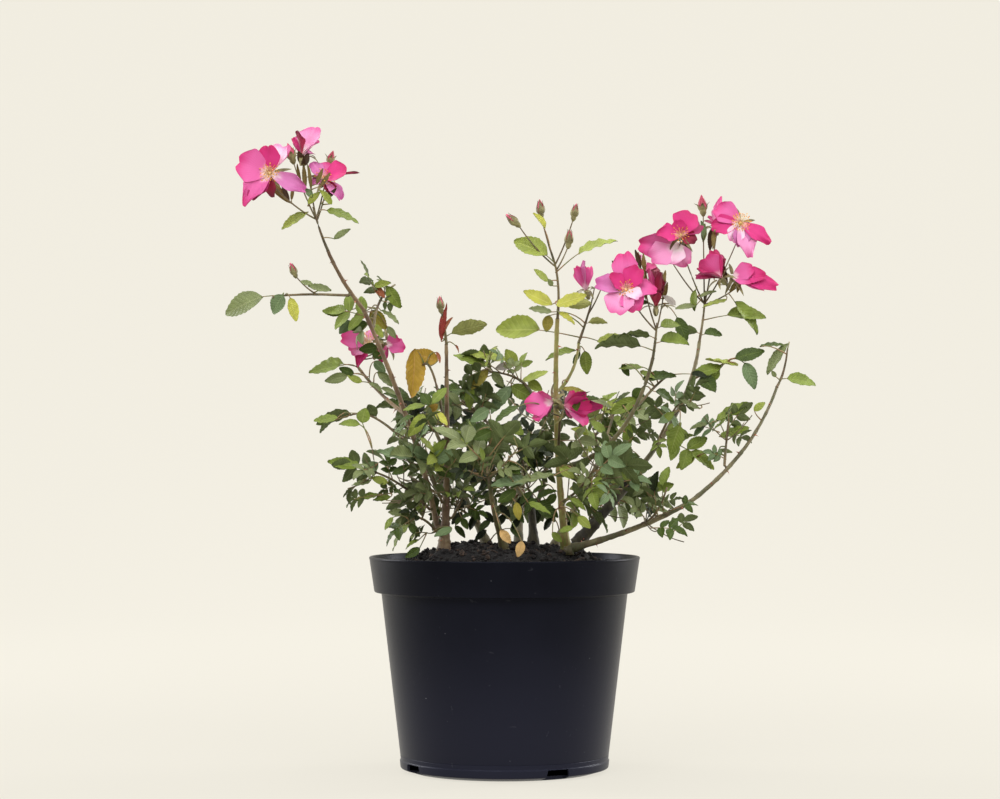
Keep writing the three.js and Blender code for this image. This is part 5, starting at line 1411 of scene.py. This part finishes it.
class OBJECT_OT_rose_compost(bpy.types.Operator):
    """Heaps the compost with its lumps, crumbs and bark chips"""

    bl_idname = "object.rose_compost"
    bl_label = "Make compost"

    def execute(self, context):
        settings = settings_of(context)[1]
        random = np.random.default_rng(21)
        spots = random.uniform(-HEAP_END, HEAP_END, (900, 2))
        sizes = random.uniform(1.6, 6.5, 900)
        heights = random.uniform(-0.5, 1.0, 900) * settings.lump / MM * (sizes / 5) ** 0.6
        spots = np.column_stack((spots, sizes))
        rings, sides = 72, 200
        radius = np.linspace(0.5, 104.6, rings)[:, None] * np.ones((1, sides))
        turns = np.linspace(0, 2 * math.pi, sides, endpoint=False)[None, :] * np.ones((rings, 1))
        x, y = radius * np.cos(turns), radius * np.sin(turns)
        z = soil_height(radius) + lumps(x, y, spots, heights) * np.clip((HEAP_END - radius) / 6, 0.2, 1)
        sheaf = Sheaf()
        sheaf.add(np.stack((x, y, z), -1), [ring_faces(rings, sides)[:, ::-1], np.arange(sides)[None, :]])
        soil = speckled_finish("compost", (5, 4, 5), (21, 17, 18), 0.95, 420.0, 0.8)
        lay(sheaf, "compost_heap", soil, "soil", "soil")
        crumbs, pale = Sheaf(), Sheaf()
        for i in range(settings.crumbs):
            self.crumb(crumbs if i % 9 else pale, random, spots, heights, 1.0)
        for _ in range(settings.chips):
            self.crumb(pale, random, spots, heights, 3.4)
        dark = speckled_finish("crumbs", (8, 6, 7), (30, 23, 22), 0.95, 500.0, 0.8)
        lay(crumbs, "compost_crumbs", dark, "soil", smooth=False)
        bark = speckled_finish("chips", (28, 21, 18), (70, 54, 44), 0.9, 500.0, 0.6)
        lay(pale, "compost_chips", bark, "soil", smooth=False)
        return {"FINISHED"}

    def crumb(self, sheaf, random, spots, heights, stretch):
        """One rough lump lying on the heap; stretch makes it a chip or a fibre."""
        out = (1 + math.sqrt(5)) / 2
        corners = np.array([
            (-1, out, 0), (1, out, 0), (-1, -out, 0), (1, -out, 0), (0, -1, out), (0, 1, out),
            (0, -1, -out), (0, 1, -out), (out, 0, -1), (out, 0, 1), (-out, 0, -1), (-out, 0, 1),
        ]) / 1.9
        faces = np.array([
            (0, 11, 5), (0, 5, 1), (0, 1, 7), (0, 7, 10), (0, 10, 11), (1, 5, 9), (5, 11, 4), (11, 10, 2),
            (10, 7, 6), (7, 1, 8), (3, 9, 4), (3, 4, 2), (3, 2, 6), (3, 6, 8), (3, 8, 9), (4, 9, 5),
            (2, 4, 11), (6, 2, 10), (8, 6, 7), (9, 8, 1),
        ])
        radius = 102 * math.sqrt(random.random())
        turn = random.random() * 2 * math.pi
        x, y = radius * math.cos(turn), radius * math.sin(turn)
        size = random.uniform(0.7, 1.1) * (0.8 + 2.1 * random.random() ** 2)
        body = corners * (size * random.uniform(0.75, 1.2, (12, 1)))
        body[:, 0] *= stretch
        body[:, 1:] /= math.sqrt(stretch)
        axis = Vector(random.normal(size=3))
        axis.z *= 0.3 if stretch > 1 else 1
        spin = Quaternion(axis.normalized(), random.random() * 2 * math.pi)
        body = array_of(spin @ Vector(point) for point in body)
        ground = float(soil_height(np.array(radius)))
        lift = float(lumps(np.array([x]), np.array([y]), spots, heights)[0])
        ground += lift * min(max((HEAP_END - radius) / 6, 0.2), 1)
        sheaf.add(body + (x, y, ground + size * 0.35), [faces])


# ---------------------------------------------------------------- canes and twigs


CANE_FINISH = {
    "shoot_centre": "cane_olive",
    "twig_centre": "cane_olive",
    # The low stems get the darkest bark: old wood, made darker still as painted shade among the leaves.
    "cane_right_cut": "cane_old_shaded",
    "stem_main": "cane_old_shaded",
    "shoot_left_top": "cane_brown",
    "cane_left_tall": "cane_brown",
    "cane_left": "cane_brown",
    "bough_left_low": "cane_brown",
}


class OBJECT_OT_rose_canes(bpy.types.Operator):
    """Grows the canes and boughs with their bark, joints and thorns"""

    bl_idname = "object.rose_canes"
    bl_label = "Make canes"

    def execute(self, context):
        settings = settings_of(context)[2]
        plant = plant_of()
        random = np.random.default_rng(settings.seed)
        kinds = {}
        thorns = Sheaf()
        for name, limb in plant.limbs.items():
            kind = CANE_FINISH.get(name, "cane_green")
            sheaf, nodes = kinds.setdefault(kind, (Sheaf(), []))
            nodes.append(name)
            self.cane(sheaf, limb, random)
            self.thorns(thorns, limb, random, settings)
        twigs = Sheaf()
        for curve, (start, tip), anchor in plant.twigs:
            count = max(4, int(curve.length / 4))
            centres = [curve.at(i / count) for i in range(count + 1)]
            radii = [max(0.42, (start + (tip - start) * i / count) * 0.82) for i in range(count + 1)]
            if anchor:
                centres.insert(0, anchor)
                radii.insert(0, radii[0] * 1.25)
            relief = random.uniform(-0.08, 0.08, (len(centres), 7))
            tube(twigs, centres, radii, 7, relief)
        finishes = {
            "cane_green": ((76, 78, 46), (118, 112, 76), (84, 56, 42)),
            "cane_olive": ((116, 122, 58), (154, 152, 88), (140, 96, 66)),
            "cane_brown": ((88, 70, 48), (134, 114, 82), (84, 50, 38)),
            # Old wood, made darker still as painted shade for the stems low among the leaves.
            "cane_old_shaded": ((40, 36, 26), (78, 72, 50), (30, 24, 18)),
            "twig": ((70, 68, 42), (118, 108, 74), (100, 62, 48)),
        }
        for kind, (sheaf, nodes) in kinds.items():
            lay(sheaf, kind, bark_finish(kind, *finishes[kind]), "bark", *nodes)
        horn = speckled_finish("thorn", (120, 52, 40), (176, 112, 80), 0.5, 300.0)
        lay(thorns, "thorns", horn, "bark")
        lay(twigs, "side_twigs", bark_finish("twig", *finishes["twig"]), "bark")
        return {"FINISHED"}

    def cane(self, sheaf, limb, random):
        """One cane: its skin in fine rings, a little thicker at each joint where a leaf once stood."""
        curve, radius_at = limb["curve"], limb["radius_at"]
        count = max(12, int(curve.length / 2.2))
        sides = 14
        joints = np.arange(8, curve.length, 19) + random.uniform(-4, 4, len(np.arange(8, curve.length, 19)))
        run = np.arange(count + 1) / count * curve.length
        swell = sum(0.16 * np.exp(-(((run - joint) / 1.6) ** 2)) for joint in joints)
        rough = random.normal(0, 0.05, (count + 1, sides))
        rough = (rough + np.roll(rough, 1, 0) + np.roll(rough, 1, 1)) / 2
        ribs = 0.05 * np.sin(np.arange(sides) * 2 * math.pi * 3 / sides)[None, :]
        relief = rough + ribs + swell[:, None] if len(joints) else rough + ribs
        centres = [curve.at(i / count) for i in range(count + 1)]
        radii = [radius_at(i / count) * 0.94 for i in range(count + 1)]
        if limb["anchor"]:
            centres.insert(0, limb["anchor"])
            radii.insert(0, radii[0] * 1.1)
        else:
            centres.insert(0, centres[0] - UP * 5)
            radii.insert(0, radii[0] * 1.15)
        tube(sheaf, centres, radii, sides, np.concatenate((relief[:1], relief)))

    def thorns(self, sheaf, limb, random, settings):
        curve, radius_at = limb["curve"], limb["radius_at"]
        run, turn = 10.0, random.random() * 6
        while run < curve.length - 4:
            share = run / curve.length
            axis = curve.tangent(share)
            heading = spoke(axis, turn)
            length = settings.thorn_length / MM * random.uniform(0.6, 1.15)
            base = curve.at(share) + heading * (radius_at(share) * 0.8)
            spike(sheaf, base, (heading + axis * 0.1).normalized(), length, 1.0, 0.35)
            run += settings.thorn_gap / MM * random.uniform(0.5, 1.6)
            turn += TWIST


# ---------------------------------------------------------------- foliage


LEAF_TONES = {
    "shade": ((28, 38, 10), (56, 70, 28)),
    "deep": ((62, 80, 24), (104, 120, 56)),
    "mid": ((114, 130, 52), (156, 166, 92)),
    "fresh": ((142, 154, 66), (184, 190, 108)),
    "young": ((176, 176, 74), (206, 204, 122)),
    "dusky": ((114, 124, 78), (158, 164, 118)),
    "sheen": ((104, 124, 84), (142, 158, 114)),
    "olive": ((140, 130, 48), (168, 152, 80)),
    "bronze": ((166, 134, 46), (186, 140, 82)),
    "copper": ((150, 88, 58), (176, 110, 76)),
    "red": ((132, 50, 44), (160, 84, 62)),
    "tan": ((206, 170, 112), (180, 138, 82)),
    "dry": ((172, 164, 156), (138, 128, 120)),
    "calyx": ((112, 96, 52), (146, 132, 84)),
    "umber": ((62, 44, 26), (92, 68, 44)),
}
UNDER_TONES = {
    "under_dark": ((92, 104, 62), (132, 142, 98), ("shade", "deep", "mid", "dusky", "sheen")),
    "under_light": ((156, 160, 96), (186, 188, 128), ("fresh", "young", "olive")),
    "under_warm": ((164, 128, 76), (184, 146, 96),
                   ("bronze", "copper", "red", "tan", "dry", "calyx", "umber")),
}


# A grown leaf gives way to a set one whose tip is this close.
GIVES_WAY = 17


class OBJECT_OT_rose_foliage(bpy.types.Operator):
    """Lays every leaf: its stalk, its toothed leaflets and their pale undersides"""

    bl_idname = "object.rose_foliage"
    bl_label = "Make foliage"

    def execute(self, context):
        settings = settings_of(context)[2]
        plant = plant_of()
        random = np.random.default_rng(settings.seed + 1)
        specs = {tone: [] for tone in LEAF_TONES}
        stalks = Sheaf()
        placed = set_leaves()
        self.place_leaves(plant, placed, specs, stalks, random)
        ends = array_of(tip for _, tip, _, _ in placed)
        for leaf in plant.leaves:
            tip = np.array(leaf.place(0, 1))
            if leaf.pairs == 0 and np.linalg.norm(ends - tip, axis=1).min() < GIVES_WAY:
                continue
            tones = TONES.get(leaf.mass, TONES_MASS)
            specs[tones[int(leaf.chance * len(tones)) % len(tones)]] += self.leaflets(leaf, random)
            top = 1 - leaf.end_length
            spots = [leaf.place(0, share) for share in np.linspace(-1.2 / leaf.size, top + 0.03, 6)]
            thick = 0.34 + 0.16 * min(leaf.size, 45) / 45
            tube(stalks, spots, np.linspace(thick * 1.25, thick * 0.7, 6), 5)
        unders = {name: Sheaf() for name in UNDER_TONES}
        for tone, (skin, rib) in LEAF_TONES.items():
            if not specs[tone]:
                continue
            sheaf = Sheaf()
            under = next(unders[name] for name, value in UNDER_TONES.items() if tone in value[2])
            lay_leaflets(sheaf, under, specs[tone], random)
            finish = leaf_finish("leaf_" + tone, skin, rib, 0.48, 0.24)
            lay(sheaf, "leaves_" + tone, finish, "leaf", *(plan["name"] for plan in MASSES), pattern="blade")
        for name, sheaf in unders.items():
            skin, rib, _ = UNDER_TONES[name]
            finish = leaf_finish("leaf_" + name, skin, rib, 0.6, 0.2)
            lay(sheaf, "leaves_" + name, finish, "leaf", pattern="blade")
        stalk = speckled_finish("leaf_stalk", (98, 108, 52), (142, 108, 74), 0.55, 120.0, 0.2)
        lay(stalks, "leaf_stalks", stalk, "leaf")
        return {"FINISHED"}

    def place_leaves(self, plant, placed, specs, stalks, random):
        """The leaves set one by one, each on a stalk from the nearest wood."""
        wood = [point for limb in plant.limbs.values() for point in limb["curve"].spaced(4)]
        wood += [point for curve, _, _ in plant.twigs for point in curve.spaced(4)]
        places = array_of(wood)
        for root, tip, width, tone in placed:
            heading, length = (tip - root).normalized(), (tip - root).length
            full = width if tone in ("calyx", "umber", "red") else max(width, length * 0.5)
            front = square_to(Vector((0, -1, 0)), heading)
            top = heading.cross(front)
            top = top if top.z > 0 else -top
            tilt = math.acos(min(1, width / full))
            face = (front * math.cos(tilt) + top * math.sin(tilt)).normalized()
            droop, fold = random.uniform(-0.2, 0.6), math.radians(random.uniform(4, 16))
            specs[tone].append((root, heading, face, length * 1.02, full, droop, fold))
            gaps = np.linalg.norm(places - np.array(root), axis=1)
            start = wood[int(gaps.argmin())]
            middle = start.lerp(root, 0.5) + UP * (0.12 * (root - start).length) - heading * 1.5
            way = Curve(start, middle, root + heading * 0.6)
            tube(stalks, [way.at(share) for share in np.linspace(0, 1, 7)], np.linspace(0.62, 0.4, 7), 5)

    def leaflets(self, leaf, random):
        """The specs of one leaf's leaflets, each with small turns of its own."""
        found = []
        for root, turn, length in leaf.leaflets(leaf.pairs):
            for hand in (1, -1) if turn else (1,):
                start = leaf.place(0, root)
                end = leaf.place(hand * math.sin(turn) * length, root + math.cos(turn) * length)
                heading = (end - start).normalized()
                face = square_to(leaf.face, heading)
                if face.z < -0.15:
                    face = -face
                face = square_to(face + UP * 0.25, heading)
                size = (end - start).length * random.uniform(0.96, 1.04)
                width = size * random.uniform(0.54, 0.66)
                droop = random.uniform(0.15, 0.75)
                fold = math.radians(random.uniform(8, 26))
                found.append((start, heading, face, size, width, droop, fold))
        return found


# ---------------------------------------------------------------- blooms and buds


PETAL_TONES = {
    "pink": ((242, 214, 222), (216, 96, 160), (202, 44, 118), 0.36, 0.6),
    "hot": ((238, 158, 190), (210, 48, 126), (188, 24, 98), 0.32, 0.52),
    "rich": ((226, 140, 172), (186, 46, 112), (150, 18, 80), 0.26, 0.52),
    "pale": ((244, 228, 232), (230, 148, 194), (212, 86, 150), 0.45, 0.66),
    "lilac": ((230, 200, 216), (204, 116, 174), (180, 76, 140), 0.4, 0.6),
    "white": ((246, 238, 236), (238, 204, 222), (222, 130, 180), 0.5, 0.7),
    "crimson": ((186, 72, 86), (146, 24, 58), (104, 12, 42), 0.3, 0.5),
}


STAMEN_REACH = 24
# How far a petal's end curls, its rim waves and its sides cup: the least and the most of each.
PETAL_BENDS = ((-0.1, 0.35), (0.02, 0.07), (0.1, 0.4))


@cache
def sepal_finish():
    return speckled_finish("sepal", (92, 84, 50), (142, 136, 90), 0.6, 160.0, 0.3)


class OBJECT_OT_rose_blooms(bpy.types.Operator):
    """Opens the blooms: petals, stamens, sepals and hips"""

    bl_idname = "object.rose_blooms"
    bl_label = "Make blooms"

    def execute(self, context):
        random = np.random.default_rng(settings_of(context)[2].seed + 2)
        petals = {tone: Sheaf() for tone in PETAL_TONES}
        threads, anthers, sepals = Sheaf(), Sheaf(), Sheaf()
        for place, facing, stamens, rows in BLOOMS:
            throat, axis = Vector(place), Vector(facing).normalized()
            for *chord, width, tone, point in rows:
                curl, ruffle, cup = (random.uniform(*ends) for ends in PETAL_BENDS)
                petal(petals[tone], throat, axis, Vector(chord), width, random, curl, ruffle, cup, point)
            if stamens:
                self.stamens(threads, anthers, throat, axis, random, stamens)
            self.calyx(sepals, throat, axis, random)
        for tone, sheaf in petals.items():
            finish = petal_finish("petal_" + tone, *PETAL_TONES[tone])
            lay(sheaf, "petals_" + tone, finish, "bloom", pattern="petal")
        thread = speckled_finish("stamen_thread", (232, 196, 120), (244, 214, 160), 0.5, 200.0, 0.1)
        lay(threads, "stamen_threads", thread, "bloom")
        pollen = speckled_finish("anther", (214, 128, 30), (246, 184, 70), 0.7, 300.0)
        lay(anthers, "anthers", pollen, "bloom")
        lay(sepals, "bloom_sepals", sepal_finish(), "leaf")
        return {"FINISHED"}

    def stamens(self, threads, anthers, throat, axis, random, count):
        for i in range(count):
            turn = i * TWIST
            lean = 0.25 + 0.95 * math.sqrt((i + 0.5) / count) * random.uniform(0.8, 1.1)
            outward = spoke(axis, turn)
            length = STAMEN_REACH * random.uniform(0.27, 0.36)
            root = throat + outward * (0.9 * math.sqrt(i / count) + 0.3)
            middle = root + (axis * 0.9 + outward * math.sin(lean) * 0.55).normalized() * length * 0.55
            tip = root + (axis * math.cos(lean) + outward * math.sin(lean)).normalized() * length
            curve = Curve(root, middle, tip)
            tube(threads, [curve.at(share) for share in (0, 0.5, 1)], (0.17, 0.14, 0.11), 3)
            way = curve.tangent(1)
            profile = ((-0.2, 0.1), (0.1, 0.5), (0.7, 0.52), (1.1, 0.12))
            turned(anthers, tip, (way + outward * 0.6).normalized(), profile, 5)
        turned(threads, throat, axis, ((-0.5, 1.2), (0.8, 1.5), (1.8, 1.1), (2.2, 0.2)), 8)

    def calyx(self, sepals, throat, axis, random):
        base = throat - axis * CALYX_HEIGHT
        profile = ((0, 0.9), (1.2, 1.7), (3.2, 2.5), (5.2, 2.5), (6.6, 1.9), (7.8, 2.3), (8.4, 1.4))
        turned(sepals, base, axis, profile, 10)
        for i in range(5):
            outward = spoke(axis, i * 2 * math.pi / 5 + random.uniform(-0.2, 0.2))
            start = base + axis * 7 + outward * 1.8
            sepal(sepals, start, axis, outward, random.uniform(13, 18), 3.6, 1.2, random.uniform(1.9, 2.7))


# A bud's outline and its hip's: each point by its share of the bud's length and of its radius.
BUD_LINE = (
    (0.2, 0.5), (0.3, 0.86), (0.42, 1.0), (0.56, 0.94), (0.7, 0.72), (0.84, 0.42), (0.94, 0.2), (1, 0.03),
)
HIP_LINE = ((-0.04, 0.26), (0.04, 0.5), (0.12, 0.72), (0.2, 0.7), (0.26, 0.8), (0.3, 0.7))


class OBJECT_OT_rose_buds(bpy.types.Operator):
    """Closes the buds in their sepals, with the petals' tips showing"""

    bl_idname = "object.rose_buds"
    bl_label = "Make buds"

    def execute(self, context):
        random = np.random.default_rng(settings_of(context)[2].seed + 3)
        tips, sepals = Sheaf(), Sheaf()
        for base, axis, length, name in plant_of().buds:
            is_opening = name.startswith("bloom")
            radius = length * 0.225
            core = [(length * share, radius * value) for share, value in BUD_LINE]
            hip = [(length * share, radius * value) for share, value in HIP_LINE]
            turned(tips, base, axis, core, 14)
            turned(sepals, base, axis, hip, 10)
            for i in range(5):
                turn = i * 2 * math.pi / 5 + random.uniform(-0.1, 0.1)
                end = random.uniform(0.58, 0.74) if is_opening else random.uniform(0.86, 1.04)
                flick = random.uniform(0.8, 1.6) if is_opening else random.uniform(0.2, 0.9)
                clasp(sepals, base, axis, turn, core, length * 0.22, length * end, 0.6, length * flick)
        petals = speckled_finish("bud_petal", (148, 26, 54), (206, 84, 116), 0.5, 90.0, 0.2)
        lay(tips, "bud_petals", petals, "bloom")
        lay(sepals, "bud_sepals", sepal_finish(), "leaf")
        return {"FINISHED"}


# ---------------------------------------------------------------- stage


# The soft lights: where each hangs, the height that it is turned to, its size and its power.
LAMPS = (
    ("key", (-0.9, -2.2, 2.3), 0.28, (2.2, 1.6), 62),
    ("fill", (1.6, -2.0, 1.7), 0.3, (1.8, 1.4), 34),
    ("left_strip", (-1.5, 0.75, 0.62), 0.25, (0.5, 1.7), 27),
    ("right_strip", (1.5, 0.75, 0.62), 0.25, (0.5, 1.7), 28),
    ("top", (0, 0.4, 2.4), 0.3, (2.4, 2.0), 34),
)
LENS = 96.6
FILM = 36
LOOK_UP = 42.2
WORLD_COLOUR = (1.0, 0.97, 0.93, 1)
WORLD_LIGHT = 0.28
FLOOR_GLOW = 0.825
FLOOR_GLOW_BEHIND = 0.11


class SCENE_OT_rose_stage(bpy.types.Operator):
    """Sets the pale floor, the soft lights and the camera"""

    bl_idname = "scene.rose_stage"
    bl_label = "Make stage"

    def execute(self, context):
        settings = settings_of(context)[3]
        self.floor(settings)
        for name, place, aim, size, power in LAMPS:
            self.light(name, place, (0, 0, aim), size, power * settings.light)
        self.world(context)
        self.camera(context)
        context.scene.view_settings.view_transform = "Standard"
        return {"FINISHED"}

    def floor(self, settings):
        """A floor that runs back and bends up into a wall, so that no edge shows."""
        bend, back, wide, high, under = 1.6, 3.4, 9.0, 7.0, 0.0002
        line = [(-4.0, 0.0), (0.0, 0.0), (back - bend, 0.0)]
        for i in range(1, 17):
            turn = i / 16 * math.pi / 2
            line.append((back - bend + bend * math.sin(turn), bend - bend * math.cos(turn)))
        line.append((back, high))
        points = [(x, y, z - under) for y, z in line for x in (-wide, wide)]
        faces = [(2 * i, 2 * i + 1, 2 * i + 3, 2 * i + 2) for i in range(len(line) - 1)]
        mesh = shell("studio_floor", points, faces)
        mesh.polygons.foreach_set("use_smooth", np.full(len(faces), True))
        floor = shown("studio_floor", mesh)
        tone = (*settings.floor_colour, 1)
        material, web, shader = principled("studio_paper", 0.9, Specular_IOR_Level=0.0)
        shader.inputs["Base Color"].default_value = darker(tone, 0.10)
        shader.inputs["Emission Color"].default_value = tone
        behind = web.soft(web.parts(web.place())[1], 0.1, 1.9)
        glow = web.maths("MULTIPLY_ADD", behind, FLOOR_GLOW_BEHIND, FLOOR_GLOW)
        web.feed(shader.inputs["Emission Strength"], glow)
        mesh.materials.append(material)
        floor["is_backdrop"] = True

    def light(self, name, place, aim, size, power):
        lamp = bpy.data.lights.new(name, "AREA")
        lamp.shape = "RECTANGLE"
        lamp.size, lamp.size_y = size
        lamp.energy = power
        hung = shown(name, lamp)
        hung.location = place
        hung.rotation_euler = (Vector(aim) - Vector(place)).to_track_quat("-Z", "Y").to_euler()

    def world(self, context):
        world = bpy.data.worlds.new("studio")
        world.use_nodes = True
        sky = world.node_tree.nodes["Background"].inputs
        sky["Color"].default_value = WORLD_COLOUR
        sky["Strength"].default_value = WORLD_LIGHT
        context.scene.world = world

    def camera(self, context):
        lens = bpy.data.cameras.new("camera")
        lens.lens = LENS
        lens.sensor_width = FILM
        lens.clip_end = 50
        eye = shown("camera", lens)
        eye.location = (VIEW_EYE[0] * MM, -VIEW_DISTANCE * MM, VIEW_EYE[1] * MM)
        eye.rotation_euler = (math.pi / 2 + math.atan2(LOOK_UP, VIEW_DISTANCE), 0, 0)
        context.scene.camera = eye


class VIEW3D_PT_rose(bpy.types.Panel):
    """Lists the steps that make the bush"""

    bl_label = "Potted rose bush"
    bl_idname = "VIEW3D_PT_rose"
    bl_space_type = "VIEW_3D"
    bl_region_type = "UI"
    bl_category = "Rose"

    def draw(self, context):
        for step in STEPS:
            self.layout.operator(step.bl_idname)
        for group in settings_of(context):
            for key in group.bl_rna.properties.keys():
                if key not in ("rna_type", "name"):
                    self.layout.prop(group, key)


STEPS = (
    SCENE_OT_rose_stage,
    OBJECT_OT_rose_pot,
    OBJECT_OT_rose_compost,
    OBJECT_OT_rose_canes,
    OBJECT_OT_rose_foliage,
    OBJECT_OT_rose_blooms,
    OBJECT_OT_rose_buds,
)
SETTINGS = {
    "rose_pot": RosePotSettings,
    "rose_soil": RoseSoilSettings,
    "rose_plant": RosePlantSettings,
    "rose_stage": RoseStageSettings,
}


def register():
    for made in (*SETTINGS.values(), *STEPS, VIEW3D_PT_rose):
        bpy.utils.register_class(made)
    for name, group in SETTINGS.items():
        setattr(bpy.types.Scene, name, bpy.props.PointerProperty(type=group))


def unregister():
    for name in SETTINGS:
        delattr(bpy.types.Scene, name)
    for made in reversed((*SETTINGS.values(), *STEPS, VIEW3D_PT_rose)):
        bpy.utils.unregister_class(made)


def main():
    register()
    bpy.ops.scene.rose_stage()
    bpy.ops.object.rose_pot()
    bpy.ops.object.rose_compost()
    bpy.ops.object.rose_canes()
    bpy.ops.object.rose_foliage()
    bpy.ops.object.rose_blooms()
    bpy.ops.object.rose_buds()
    boxes = {"cad": CAD_BOX, "visual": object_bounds()}
    {name: [list(corner) for corner in box] for name, box in boxes.items()}


if __name__ == "__main__":
    main()
